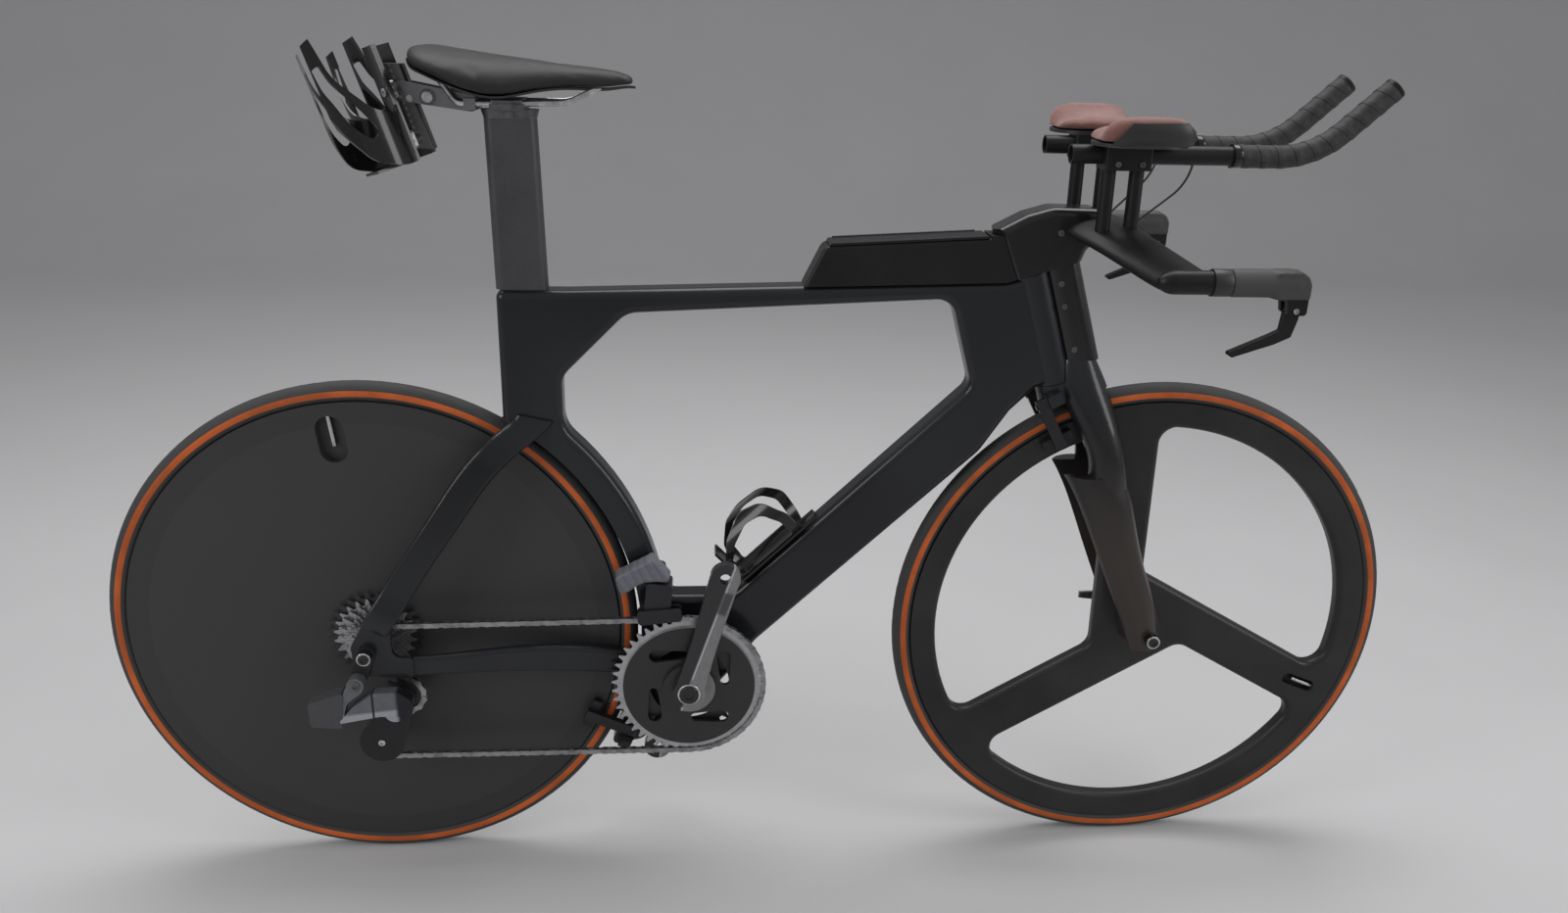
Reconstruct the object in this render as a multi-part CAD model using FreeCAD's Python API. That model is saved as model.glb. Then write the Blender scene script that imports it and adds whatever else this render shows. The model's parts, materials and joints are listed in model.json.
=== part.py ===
import FreeCAD, Part
import math
import os
from FreeCAD import Vector as V

# A time trial bike that stands on its two wheels and faces +X, with its drive side towards -Y.
# Millimetres. The origin is on the ground, midway between the two wheels.

# Layout of the wheels, the steering axis and the crank axis
WHEELBASE = 1009.0
WHEEL_R = 335.0
HEAD_TILT = 17.0
FORK_RAKE = 43.0
BB_FORWARD = WHEEL_R + 67.0
BB_DROP = 65.0
WHEEL_GAP = 10.0

# Wheels and tyres
TYRE_H = 24.0
RIM_R = WHEEL_R - TYRE_H
RIM_W = 23.0
BRAKE_TRACK = 26.0
TYRE_W = 26.0
AXLE_R = 6.0
RUN_FIT = 0.05
BEARING_R = 13.0
BEARING_W = 8.0
REAR_SPAN = 130.0
FRONT_SPAN = 100.0
SKEWER_R = 9.5
SKEWER_NUT = 9.0
SKEWER_SEAT = 6.0
BARREL_R = 6.0
FORK_TIP_T = 11.2
DISC_HUB_R = 30.0
DISC_DISH_RIGHT = 14.0
DISC_DISH_LEFT = 24.0
RIM_DEPTH = 34.0
SPOKE_W = 62.0
SPOKE_LEAN = 31.0
SPOKE_TURN = 90.5
WINDOW_ROUND = 22.0
BLADE_ROUND = 8.0
VALVE_R = 3.0
VALVE_Y = -5.0
VALVE_ROOM = 1.0
VALVE_POCKET_W = 34.0
VALVE_POCKET_L = 60.0
FRONT_POCKET_W = 16.0
FRONT_POCKET_L = 50.0

# Frame
FRAME_W = 40.0
FRAME_ROUND = 9.5
FAIRING_GAP = 5.0
FAIRING_WALL = 34.0
HEAD_RISE = WHEEL_R + 4.0
HEAD_LENGTH = 142.0
NOSE_R = 24.0
NOSE_GAP = 0.8
STEM_BACK_R = 30.0
STEM_BACK_H = 61.0
STEM_FLARE = 3.5
HEAD_BORE_R = 17.0
STEERER_R = 14.0
HEAD_BEARING_W = 9.0
SEAT_REAR = WHEEL_R - 159.0
SEAT_TOP = WHEEL_R + 115.0
SEAT_DEPTH = 73.5
BB_SHELL_W = 86.0
BB_SHELL_R = 28.0
BB_BORE_R = 20.5
BB_BLOCK_W = 64.0
BB_CUP_W = 14.0
BB_LIP = 1.5
WINDOW_FOOT = (55.0, 114.0)
WINDOW_CHAMFER = 0.55
TOP_TUBE_H = 27.0
DROPOUT_T = 6.0

# Seatpost and saddle
POST_DEPTH = 62.0
POST_W = 25.0
POST_RISE = 196.0
TENON_DEPTH = 46.0
TENON_W = 15.0
TENON_DROP = 120.0
SOCKET_FIT = 0.3
SADDLE_REAR = SEAT_REAR - 82.0
SADDLE_LIFT = 53.0
RAIL_R = 3.5
RAIL_Y = 22.0
RAIL_LIFT = 17.0
COVER_GAP = 0.3
CLAMP_SPLIT = 0.4
RAIL_FIT = 0.02

# Storage box
BOX_W = 44.0
BOX_WALL = 2.5
BOX_ROUND = 4.0
LID_T = 3.0
LID_GAP = 0.3
LID_BARREL_R = 1.6

# Drive
CHAIN_PITCH = 12.7
CHAIN_Y = -48.0
LARGE_TEETH = 48
SMALL_TEETH = 35
COG_TEETH = (10, 11, 12, 13, 14, 15, 16, 17, 19, 21, 24, 28)
COG_IN_USE = 3
COG_STEP = 3.6
COG_T = 1.6
RING_T = 2.2
RING_STEP = 7.0
RING_WEB = 3.0
RING_SEAT_R = 19.8
SEAT_FIT = 0.05
PULLEY_TEETH = 12
PULLEY_W = 11.0
TOOTH_H = 3.6
TOOTH_ROOT = 4.2
PLATE_IN = 1.7
PLATE_OUT = 2.5
CHAIN_HALF_H = 4.0
ROLLER_R = 3.8
CRANK_LENGTH = 171.0
CRANK_ANGLE = 74.4
CRANK_T = 14.0
CRANK_Y = 58.0
SPINDLE_R = 14.45
PEDAL_R = 7.14
UPPER_PULLEY = (37.0, -72.0)
LOWER_PULLEY = (4.0, -138.0)
CAGE_PIVOT = (33.0, -74.0)
CAGE_SPAN = 13.0
CAGE_T = 2.0
CAGE_PIN_R = 5.0
PULLEY_PIN_R = 4.0
HANGER_BOLT = (-12.0, -34.0)
HANGER_T = 6.0

# Brakes
PIVOT_OFF = 19.0
PIVOT_Y = 27.0
PIVOT_R = 3.5
PAD_GAP = 2.6
ARM_T = 10.0
ARM_W = 14.0
REAR_BRAKE_ANGLE = -24.0
FRONT_BRAKE_ANGLE = 118.0

# Bars
BAR_SPREAD = 207.0
HORN_R = 12.0
GRIP_T = 2.2
EXT_SPREAD = 55.0
EXT_R = 11.0
EXT_BORE_R = 9.0
TAPE_T = 2.2
EXT_BEND_R = 110.0
RISER_R = 8.5
PAD_SPREAD = 85.0
LEVER_PIN_R = 3.0
WIRE_R = 1.3

# Bottle cages
BOTTLE_R = 37.3
CAGE_WALL = 2.4
CAGE_HEIGHT = 142.0
CAGE_LEAN = 18.0
CAGE_TOE = 40.0
CAGE_SKEW = 16.0
SPINE_HALF = 11.0
SPINE_T = 2.0
CAGE_BOLTS = (22.0, 78.0)

REAR_X = -WHEELBASE / 2
FRONT_X = WHEELBASE / 2
TILT = math.radians(HEAD_TILT)
FORE = V(math.cos(TILT), 0, math.sin(TILT))
AXIS = V(-math.sin(TILT), 0, math.cos(TILT))
ACROSS = V(0, 1, 0)
UP = V(0, 0, 1)
AHEAD = V(1, 0, 0)
CUT_R = WHEEL_R + WHEEL_GAP
ARCH_R = WHEEL_R + FAIRING_GAP
SIDES = (-1, 1)
ORIGIN = V(0, 0, 0)


def rear(x, h, y=0.0):
    """A point x ahead of the rear axle and h above the axle line."""
    return V(REAR_X + x, y, WHEEL_R + h)


def front(x, h, y=0.0):
    """A point x ahead of the front axle and h above the axle line."""
    return V(FRONT_X + x, y, WHEEL_R + h)


def crank(x, h, y=0.0):
    """A point x ahead of the crank axis and h above it."""
    return rear(BB_FORWARD + x, h - BB_DROP, y)


HEAD_FOOT = front(0, 0) + FORE * -FORK_RAKE
HEAD_FOOT = HEAD_FOOT + AXIS * ((HEAD_RISE + FORK_RAKE * math.sin(TILT)) / math.cos(TILT))


def head(u, w, y=0.0):
    """A point u ahead of the steering axis and w up along it from the foot of the head tube."""
    return HEAD_FOOT + FORE * u + AXIS * w + V(0, y, 0)


BAR_FOOT = head(0, HEAD_LENGTH)


def bar(x, h, y=0.0):
    """A point x ahead of the head tube's top and h above it, on the steered cockpit."""
    return BAR_FOOT + V(x, y, h)


def polar(centre, r, degrees, y=0.0):
    """A point at radius r and an angle from +X in the bike's side view."""
    a = math.radians(degrees)
    return centre + V(r * math.cos(a), y, r * math.sin(a))


def flat(point, y):
    return V(point.x, y, point.z)


def rounded(corners):
    """A closed wire through (point, radius) corners, with a tangent arc at each corner."""
    edges = []
    ends = []
    n = len(corners)
    for i in range(n):
        p, r = corners[i]
        before = (corners[i - 1][0] - p).normalize()
        after = (corners[(i + 1) % n][0] - p).normalize()
        if r <= 0:
            ends.append((p, None, p))
            continue
        half = before.getAngle(after) / 2
        reach = r / math.tan(half)
        middle = (before + after).normalize()
        top = p + middle * (r / math.sin(half) - r)
        ends.append((p + before * reach, top, p + after * reach))
    for i in range(n):
        start, top, stop = ends[i]
        if top is not None:
            edges.append(Part.Arc(start, top, stop).toShape())
        following = ends[(i + 1) % n][0]
        if stop.distanceToPoint(following) > 1e-6:
            edges.append(Part.LineSegment(stop, following).toShape())
    return Part.Wire(edges)


def prism(corners, y0, y1):
    """The side-view outline of (point, radius) corners, extruded from y0 to y1."""
    wire = rounded([(flat(p, y0), r) for p, r in corners])
    return Part.Face(wire).extrude(V(0, y1 - y0, 0))


def plain(points, r, y0, y1):
    return prism([(p, r) for p in points], y0, y1)


def rod(a, b, r):
    return Part.makeCylinder(r, a.distanceToPoint(b), a, b - a)


def pin_y(centre, r, y0, y1):
    return Part.makeCylinder(r, y1 - y0, flat(centre, y0), ACROSS)


def ring_y(centre, r_in, r_out, y0, y1):
    return pin_y(centre, r_out, y0, y1).cut(pin_y(centre, r_in, y0, y1))


def block(a, b):
    low = V(min(a.x, b.x), min(a.y, b.y), min(a.z, b.z))
    return Part.makeBox(abs(b.x - a.x), abs(b.y - a.y), abs(b.z - a.z), low)


def join(shapes):
    first = shapes[0]
    return first.multiFuse(shapes[1:]).removeSplitter()


def section(centre, wide, thick, half_w, half_t, share=0.9):
    """A rounded rectangle about a centre, half_w along wide and half_t along thick."""
    wide = V(wide).normalize() * half_w
    thick = V(thick).normalize() * half_t
    r = share * min(half_w, half_t)
    corners = [centre + wide + thick, centre - wide + thick, centre - wide - thick, centre + wide - thick]
    return rounded([(p, r) for p in corners])


def oval(centre, wide, thick, half_w, half_t):
    """An ellipse about a centre, with its longer half along wide."""
    wide = V(wide).normalize() * half_w
    thick = V(thick).normalize() * half_t
    return Part.Wire(Part.Ellipse(centre + wide, centre + thick, centre).toShape())


def loft(wires, ruled=False):
    return Part.makeLoft(wires, True, ruled)


def tube_path(points, radii):
    """An open wire through points, rounded by the given radius at each inner point."""
    edges = []
    here = points[0]
    for i in range(1, len(points) - 1):
        p = points[i]
        before = (points[i - 1] - p).normalize()
        after = (points[i + 1] - p).normalize()
        half = before.getAngle(after) / 2
        reach = radii[i - 1] / math.tan(half)
        top = p + (before + after).normalize() * (radii[i - 1] / math.sin(half) - radii[i - 1])
        start = p + before * reach
        stop = p + after * reach
        edges.append(Part.LineSegment(here, start).toShape())
        edges.append(Part.Arc(start, top, stop).toShape())
        here = stop
    edges.append(Part.LineSegment(here, points[-1]).toShape())
    return Part.Wire(edges)


def tube(path, r):
    """A round bar along an open wire of lines and arcs."""
    edge = path.Edges[0]
    start = edge.valueAt(edge.FirstParameter)
    circle = Part.Wire(Part.Circle(start, edge.tangentAt(edge.FirstParameter), r).toShape())
    return path.makePipeShell([circle], True, False)


def edges_where(shape, test):
    return [e for e in shape.Edges if test(e)]


def along_y(edge):
    if len(edge.Vertexes) != 2:
        return False
    d = edge.Vertexes[1].Point - edge.Vertexes[0].Point
    return abs(d.x) + abs(d.z) < 1e-6


def on_faces(edge, half):
    return all(abs(abs(v.Point.y) - half) < 1e-6 for v in edge.Vertexes)


def mirrored(shape):
    return shape.mirror(ORIGIN, ACROSS)


def pitch_r(teeth):
    return CHAIN_PITCH / (2 * math.sin(math.pi / teeth))


def toothed(centre, teeth, y0, y1):
    """A sprocket blank with pointed teeth. A gap between two teeth points at +X."""
    r = pitch_r(teeth)
    step = 360.0 / teeth
    points = []
    for i in range(teeth):
        a = i * step
        points.append(polar(centre, r - TOOTH_ROOT, a - 0.18 * step))
        points.append(polar(centre, r - TOOTH_ROOT, a + 0.18 * step))
        points.append(polar(centre, r + TOOTH_H, a + 0.42 * step))
        points.append(polar(centre, r + TOOTH_H, a + 0.58 * step))
    return plain(points, 0, y0, y1)


def top_line(share):
    """A point on the frame's top edge, from the seat tube (0) to the head tube (1)."""
    back = rear(SEAT_REAR + SEAT_DEPTH + 12, SEAT_TOP)
    fore = head(-STEM_BACK_R - 2, HEAD_LENGTH)
    return back + (fore - back) * share


def middle_of(edge):
    return edge.valueAt((edge.FirstParameter + edge.LastParameter) / 2)


def make_plate():
    """The main plate: seat tube, top tube, down tube, wheel fairing and the head's flank."""
    half = FRAME_W / 2
    axle = rear(0, 0)
    shut = FRAME_ROUND + 3.5
    outline = [
        (rear(SEAT_REAR, SEAT_TOP), 0),
        (top_line(0), 300),
        (top_line(1), 40),
        (head(0, HEAD_LENGTH), 0),
        (head(0, 0), 0),
        (head(-NOSE_R - 3, 0), 4),
        (head(-64, -20), shut),
        (head(-113, -61), 60),
        (crank(89, 48), 60),
        (crank(45, -8), 30),
        (crank(-2, -46), 30),
        (polar(axle, ARCH_R + FAIRING_WALL + 3, -26.3), shut),
        (polar(axle, ARCH_R - 1, -31.5), 0),
        (rear(SEAT_REAR, -60), 0),
    ]
    plate = prism(outline, -half, half)
    plate = plate.cut(pin_y(axle, ARCH_R, -half, half))
    plate = plate.cut(make_window(-half, half))
    perimeter = edges_where(plate, lambda e: on_faces(e, half))
    rounded = [e for e in perimeter if abs((middle_of(e) - axle).Length - math.hypot(ARCH_R, half)) > 0.1]
    return plate.makeFillet(FRAME_ROUND, rounded)


def make_window(y0, y1):
    """The open triangle inside the frame, which follows the wheel fairing at its lower corner."""
    axle = rear(0, 0)
    fairing = ARCH_R + FAIRING_WALL
    seat_front = SEAT_REAR + SEAT_DEPTH
    floor_h = WINDOW_FOOT[1] - BB_DROP
    roof_h = SEAT_TOP - TOP_TUBE_H
    side_h = math.sqrt(fairing ** 2 - seat_front ** 2)
    chamfer = WINDOW_CHAMFER * (roof_h - side_h)
    outline = [
        (head(-102, HEAD_LENGTH - 2), 24),
        (rear(seat_front + chamfer, roof_h), chamfer * 0.43),
        (rear(seat_front, roof_h - chamfer), chamfer * 0.35),
        (rear(seat_front, fairing * 0.508), 0),
        (rear(fairing * 0.856, floor_h), 0),
        (crank(*WINDOW_FOOT), 30),
        (head(-104, 27.6), 20),
    ]
    window = prism(outline, y0, y1)
    window = window.cut(pin_y(axle, fairing, y0, y1))
    uprights = edges_where(window, along_y)
    low = [e for e in uprights if abs(e.Vertexes[0].Point.z - rear(0, floor_h).z) < 1e-3]
    low = [e for e in low if e.Vertexes[0].Point.x < crank(0, 0).x]
    window = window.makeFillet(18, low)
    uprights = edges_where(window, along_y)
    side = [e for e in uprights if abs(e.Vertexes[0].Point.x - rear(seat_front, 0).x) < 1e-3]
    lowest = min(side, key=lambda e: e.Vertexes[0].Point.z)
    return window.makeFillet(chamfer / 2, [lowest])


def make_chainstay():
    """The right chainstay, from the bottom bracket to the dropout."""
    out_y = REAR_SPAN / 2 + DROPOUT_T / 2
    rows = [
        (15, -19, -out_y, 13, DROPOUT_T / 2),
        (BB_FORWARD * 0.2, -23, -58, 13.2, 6),
        (BB_FORWARD * 0.373, -23.3, -48, 16, 7),
        (BB_FORWARD * 0.535, -26, -38, 18.2, 7.5),
        (BB_FORWARD * 0.721, -36.5, -25.5, 18.3, 7.5),
        (BB_FORWARD - 10, 17 - BB_DROP, -24, 18, 7),
    ]
    return loft([section(rear(x, h, y), UP, ACROSS, tall, thick) for x, h, y, tall, thick in rows])


def make_seatstay():
    """The right seatstay: a wide blade beside the wheel that bends in and ends on the seat tube's flank."""
    out_y = REAR_SPAN / 2 + DROPOUT_T / 2
    end_x = SEAT_REAR + 40
    end_h = SEAT_TOP - 156
    rows = [
        (10, 30, -out_y, 18, DROPOUT_T / 2, 28),
        (end_x * 0.153, end_h * 0.221, -66, 17.8, 4, 28),
        (end_x * 0.338, end_h * 0.429, -60, 17.8, 5, 29),
        (end_x * 0.505, end_h * 0.609, -56, 18.3, 5.5, 30),
        (end_x * 0.653, end_h * 0.765, -51, 18.7, 6, 32),
        (end_x * 0.771, end_h * 0.861, -45, 18.7, 6.5, 34),
        (end_x * 0.87, end_h * 0.918, -34, 19.2, 7, 30),
        (end_x, end_h, -17, 23.2, 7, 12),
    ]
    wires = []
    for x, h, y, half_w, half_t, lean in rows:
        slope = math.radians(lean)
        wide = V(math.cos(slope), 0, -math.sin(slope))
        wires.append(section(rear(x, h, y), wide, ACROSS, half_w, half_t))
    return loft(wires)


def make_dropout():
    """The right dropout: a plate that widens from the two stays, with a round inner corner."""
    inner = -REAR_SPAN / 2
    corners = [(rear(-19, 9), 14), (rear(-16, -20), 16), (rear(0, -32), 6), (rear(56, -35), 6), (rear(56, -7), 4),
               (rear(31, -6), 12), (rear(31, 32), 20), (rear(42, 54), 4), (rear(10, 60), 4)]
    return prism(corners, inner - DROPOUT_T, inner)


def brake_place(shape, centre, degrees):
    """Turns a brake piece from the +X side of a wheel to its place around that wheel."""
    placed = shape.copy()
    placed.rotate(ORIGIN, ACROSS, -degrees)
    placed.translate(centre)
    return placed


def brake_lug(side):
    """The boss and the pivot pin that carry one brake arm, drawn on the +X side of a wheel."""
    pivot = WHEEL_R + PIVOT_OFF
    lug = block(V(pivot - 8, side * (PIVOT_Y - 14), -26), V(pivot + 8, side * (PIVOT_Y + 7), -ARM_W / 2 - 1))
    pin = Part.makeCylinder(PIVOT_R, 1 + ARM_W + 2, V(pivot, side * PIVOT_Y, -ARM_W / 2 - 1), UP)
    return lug.fuse(pin)


def brake_arm(side):
    """One brake arm with its pad, drawn on the +X side of a wheel."""
    pivot = WHEEL_R + PIVOT_OFF
    pad_r = RIM_R - BRAKE_TRACK / 2 + 1
    inner = PIVOT_Y - ARM_T / 2
    face = RIM_W / 2 + PAD_GAP
    arm = block(V(pad_r - 9, side * inner, -ARM_W / 2), V(pivot + 8, side * (inner + ARM_T), ARM_W / 2))
    arm = arm.makeFillet(3, edges_where(arm, lambda e: abs(e.Vertexes[0].Point.z - e.Vertexes[1].Point.z) > 1))
    pad = block(V(pad_r - 6, side * face, -20), V(pad_r + 6, side * (inner + 1), 20))
    bore = Part.makeCylinder(PIVOT_R + RUN_FIT, ARM_W, V(pivot, side * PIVOT_Y, -ARM_W / 2), UP)
    return arm.fuse(pad).cut(bore)


def make_frame():
    half_bb = BB_BLOCK_W / 2
    axle = rear(0, 0)
    bb_block = plain([crank(-62, 52), crank(50, 60), crank(58, 12), crank(8, -46), crank(-40, -44)], 24,
                     -half_bb, half_bb)
    bb_block = bb_block.makeFillet(9, edges_where(bb_block, lambda e: on_faces(e, half_bb)))
    bb_block = bb_block.cut(pin_y(axle, ARCH_R, -half_bb, half_bb))
    nose = rod(head(0, 0), head(0, HEAD_LENGTH), NOSE_R)
    shell = pin_y(crank(0, 0), BB_SHELL_R, -BB_SHELL_W / 2, BB_SHELL_W / 2)
    right = [make_chainstay(), make_seatstay(), make_dropout()]
    pieces = [make_plate(), bb_block, nose, shell] + right + [mirrored(s) for s in right]
    for side in SIDES:
        pieces.append(brake_place(brake_lug(side), axle, REAR_BRAKE_ANGLE))
    body = join(pieces)
    body = body.cut(rod(head(0, -5), head(0, HEAD_LENGTH + 5), HEAD_BORE_R))
    body = body.cut(pin_y(crank(0, 0), BB_BORE_R, -BB_SHELL_W, BB_SHELL_W))
    body = body.cut(pin_y(axle, AXLE_R, -REAR_SPAN, REAR_SPAN))
    return body.cut(post_tenon(SOCKET_FIT))


def post_tenon(extra):
    """The foot of the seatpost inside the seat tube, or its socket with some room around it."""
    middle = SEAT_REAR + POST_DEPTH / 2
    wires = []
    for drop in (TENON_DROP + extra, 0):
        centre = rear(middle, SEAT_TOP - drop)
        wires.append(section(centre, AHEAD, ACROSS, TENON_DEPTH / 2 + extra, TENON_W / 2 + extra, 0.8))
    return loft(wires, True)


def make_seatpost():
    middle = SEAT_REAR + POST_DEPTH / 2
    foot = section(rear(middle - 1, SEAT_TOP), AHEAD, ACROSS, POST_DEPTH / 2, POST_W / 2)
    top = section(rear(POST_MIDDLE, POST_TOP), AHEAD, ACROSS, POST_DEPTH / 2 - 1, POST_W / 2)
    return join([loft([foot, top], True), post_tenon(0)])


POST_TOP = SEAT_TOP + POST_RISE
POST_MIDDLE = SEAT_REAR + POST_DEPTH / 2 - 5


def rail_points(side):
    """The run of one saddle rail, from its rear socket to the nose."""
    h = POST_TOP + RAIL_LIFT
    y = side * RAIL_Y
    return [rear(SADDLE_REAR + 30, h + 32, y), rear(SADDLE_REAR + 52, h, y),
            rear(SADDLE_REAR + 174, h + 1, y), rear(SADDLE_REAR + 222, h + 24, side * 9)]


def rail_path(side):
    return tube_path(rail_points(side), (14, 40))


def make_saddle_clamp():
    """The head of the post: a cap, a cradle under the rails and a yoke over them."""
    rail_h = POST_TOP + RAIL_LIFT
    cap = loft([section(rear(POST_MIDDLE, POST_TOP), AHEAD, ACROSS, POST_DEPTH / 2 - 1, POST_W / 2),
                section(rear(POST_MIDDLE, POST_TOP + 10), AHEAD, ACROSS, POST_DEPTH / 2 + 2, POST_W / 2 + 1.5)],
               True)
    y = RAIL_Y + RAIL_R + 2.5
    cradle = block(rear(POST_MIDDLE - 19, POST_TOP + 10, -y), rear(POST_MIDDLE + 19, rail_h - CLAMP_SPLIT, y))
    yoke = block(rear(POST_MIDDLE - 17, rail_h + CLAMP_SPLIT, -y), rear(POST_MIDDLE + 17, rail_h + 4.6, y))
    yoke = yoke.makeFillet(1.5, yoke.Edges)
    lower = cap.fuse(cradle)
    for side in SIDES:
        run = rail_points(side)
        groove = rod(run[1], run[2], RAIL_R + RAIL_FIT)
        lower = lower.cut(groove)
        yoke = yoke.cut(groove)
    return Part.makeCompound([lower.removeSplitter(), yoke])


# The saddle's sections: distance from its rear end, half width, height and lift of the crest
SADDLE_ROWS = (
    (1, 30, 12, 22),
    (18, 57, 25, 23),
    (56, 69, 33, 16),
    (96, 60, 38, 11),
    (136, 39, 30, 8),
    (178, 26, 23, 5),
    (222, 21, 20, 2),
    (250, 11, 10, -6),
)
SHELL_T = 2.5
SHELL_INSET = 7.0


def cushion_wire(centre, half, tall):
    """A crowned section with drawn-in sides, flat underneath, across the bike."""
    def at(y, h):
        return centre + V(0, y * half, h * tall)
    edges = [
        Part.LineSegment(at(0.88, 0), at(-0.88, 0)).toShape(),
        Part.Arc(at(-0.88, 0), at(-0.97, 0.2), at(-1, 0.46)).toShape(),
        Part.Arc(at(-1, 0.46), at(-0.72, 0.87), at(0, 1)).toShape(),
        Part.Arc(at(0, 1), at(0.72, 0.87), at(1, 0.46)).toShape(),
        Part.Arc(at(1, 0.46), at(0.97, 0.2), at(0.88, 0)).toShape(),
    ]
    return Part.Wire(edges)


def saddle_form(inset, drop):
    """The crowned form of the saddle, or a narrower copy of it that lies lower."""
    wires = []
    for x, half, tall, crest in SADDLE_ROWS:
        base = POST_TOP + SADDLE_LIFT + crest - tall - drop
        wires.append(cushion_wire(rear(SADDLE_REAR + x, base), half - inset, tall))
    return loft(wires)


def make_saddle():
    """The cover, the stiff shell under it and the two rails that end in the shell."""
    cover = saddle_form(0, 0)
    shell = saddle_form(SHELL_INSET, SHELL_T).cut(cover)
    shell = max(shell.Solids, key=lambda s: s.Volume)
    rails = []
    for side in SIDES:
        rail = tube(rail_path(side), RAIL_R).cut(cover).cut(shell)
        rails.append(max(rail.Solids, key=lambda s: s.Volume))
    return cover, shell, Part.makeCompound(rails)


BOX_TAIL = 0.53
BOX_NOSE = 0.995
BOX_SLOPE = 24.0
BOX_HEIGHT = 52.0
BOX_SLANT = 5.0
BOX_REACH = 18.0
BOX_FLOOR = 6.0


def box_top(drop):
    """The two ends of the storage box's top line, dropped by some amount."""
    back = top_line(BOX_TAIL) + V(BOX_SLOPE, 0, BOX_HEIGHT)
    fore = top_line(BOX_NOSE) + AXIS * (BOX_HEIGHT + 8) - FORE * BOX_SLANT
    return back - UP * drop, fore - UP * drop


def make_storage_box():
    """A long box on the top tube, from its sloped tail to the nose hollowed for the stem, open on top."""
    half = BOX_W / 2
    back, fore = box_top(LID_T)
    brow = fore + UP * LID_T
    tail = top_line(BOX_TAIL)
    nose = top_line(BOX_NOSE)
    outline = [(tail, 0), (back, 12), (fore, 0), (brow, 0), (brow + AHEAD * BOX_REACH, 0),
               (nose + FORE * BOX_REACH, 0), (nose, 0)]
    box = prism(outline, -half, half)
    uprights = edges_where(box, lambda e: on_faces(e, half) and e.BoundBox.ZMax > tail.z + BOX_FLOOR + 20)
    slopes = [e for e in uprights if e.BoundBox.ZMin < tail.z + BOX_HEIGHT / 2 and e.BoundBox.XMax < fore.x]
    box = box.makeFillet(BOX_ROUND, slopes)
    lift = UP * BOX_FLOOR
    wall = V(BOX_WALL + BOX_ROUND / 2, 0, 0)
    room = [(tail + lift + V(BOX_FLOOR, 0, 0), 3), (back + wall, 6), (back + wall + UP * 20, 0),
            (fore - wall + UP * 20, 0), (fore - wall, 3), (nose + lift - wall, 3)]
    return box.cut(prism(room, BOX_WALL - half, half - BOX_WALL)).cut(stem_back(NOSE_GAP))


def make_storage_lid():
    half = BOX_W / 2 - LID_GAP
    low_back, low_fore = box_top(LID_T - LID_GAP)
    back, fore = box_top(0)
    way = (fore - back).normalize()
    points = [(low_back + way * 5, 0), (low_fore - way * 2, 0), (fore - way * 3, 1.5), (back + way * 7, 1.5)]
    barrel = rod(flat(back + way * 12, half), flat(fore - way * 12, half), LID_BARREL_R)
    return join([prism(points, -half, half), barrel])


def make_frame_bearings():
    """The two headset rings in the head tube and the two cups in the bottom bracket shell."""
    rings = []
    for w in (0, HEAD_LENGTH - HEAD_BEARING_W):
        outer = rod(head(0, w), head(0, w + HEAD_BEARING_W), HEAD_BORE_R)
        rings.append(outer.cut(rod(head(0, w), head(0, w + HEAD_BEARING_W), STEERER_R + RUN_FIT)))
    face = BB_SHELL_W / 2
    for side in SIDES:
        inside = sorted((side * (face - BB_CUP_W), side * face))
        lip = sorted((side * face, side * (face + BB_LIP)))
        cup = pin_y(crank(0, 0), BB_BORE_R, *inside).fuse(pin_y(crank(0, 0), BB_BORE_R + 2, *lip))
        rings.append(cup.cut(pin_y(crank(0, 0), SPINDLE_R + RUN_FIT, -BB_SHELL_W, BB_SHELL_W)).removeSplitter())
    return Part.makeCompound(rings)


def tangent_run(a, b):
    """The straight run between two wheels (centre, signed radius), positive where it turns clockwise."""
    d = b[0] - a[0]
    lean = math.asin((b[1] - a[1]) / d.Length)
    angle = math.atan2(d.z, d.x) + lean
    right = V(math.sin(angle), 0, -math.cos(angle))
    return a[0] - right * a[1], b[0] - right * b[1]


def loop_wire(wheels, y):
    """A closed wire round several wheels, as straight runs and arcs."""
    n = len(wheels)
    runs = [tangent_run(wheels[i], wheels[(i + 1) % n]) for i in range(n)]
    edges = []
    for i in range(n):
        centre, r = wheels[i]
        arrive = runs[i - 1][1]
        leave = runs[i][0]
        first = math.atan2(arrive.z - centre.z, arrive.x - centre.x)
        last = math.atan2(leave.z - centre.z, leave.x - centre.x)
        turn = (first - last) % (2 * math.pi) if r > 0 else -((last - first) % (2 * math.pi))
        middle = centre + V(math.cos(first - turn / 2), 0, math.sin(first - turn / 2)) * abs(r)
        edges.append(Part.Arc(flat(arrive, y), flat(middle, y), flat(leave, y)).toShape())
        edges.append(Part.LineSegment(flat(leave, y), flat(runs[i][1], y)).toShape())
    return Part.Wire(edges)


def capsule(p, p_r, q, q_r, y0, y1):
    """A plate with two round ends."""
    return Part.Face(loop_wire([(p, p_r), (q, q_r)], y0)).extrude(V(0, y1 - y0, 0))


COG_R = pitch_r(COG_TEETH[COG_IN_USE])
RING_R = pitch_r(LARGE_TEETH)
PULLEY_R = pitch_r(PULLEY_TEETH)


def chain_wheels(offset):
    """The wheels that the chain passes, in its direction of travel, with their radii offset outwards."""
    return [
        (crank(0, 0), RING_R + offset),
        (rear(*LOWER_PULLEY), PULLEY_R + offset),
        (rear(*UPPER_PULLEY), offset - PULLEY_R),
        (rear(0, 0), COG_R + offset),
    ]


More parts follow.
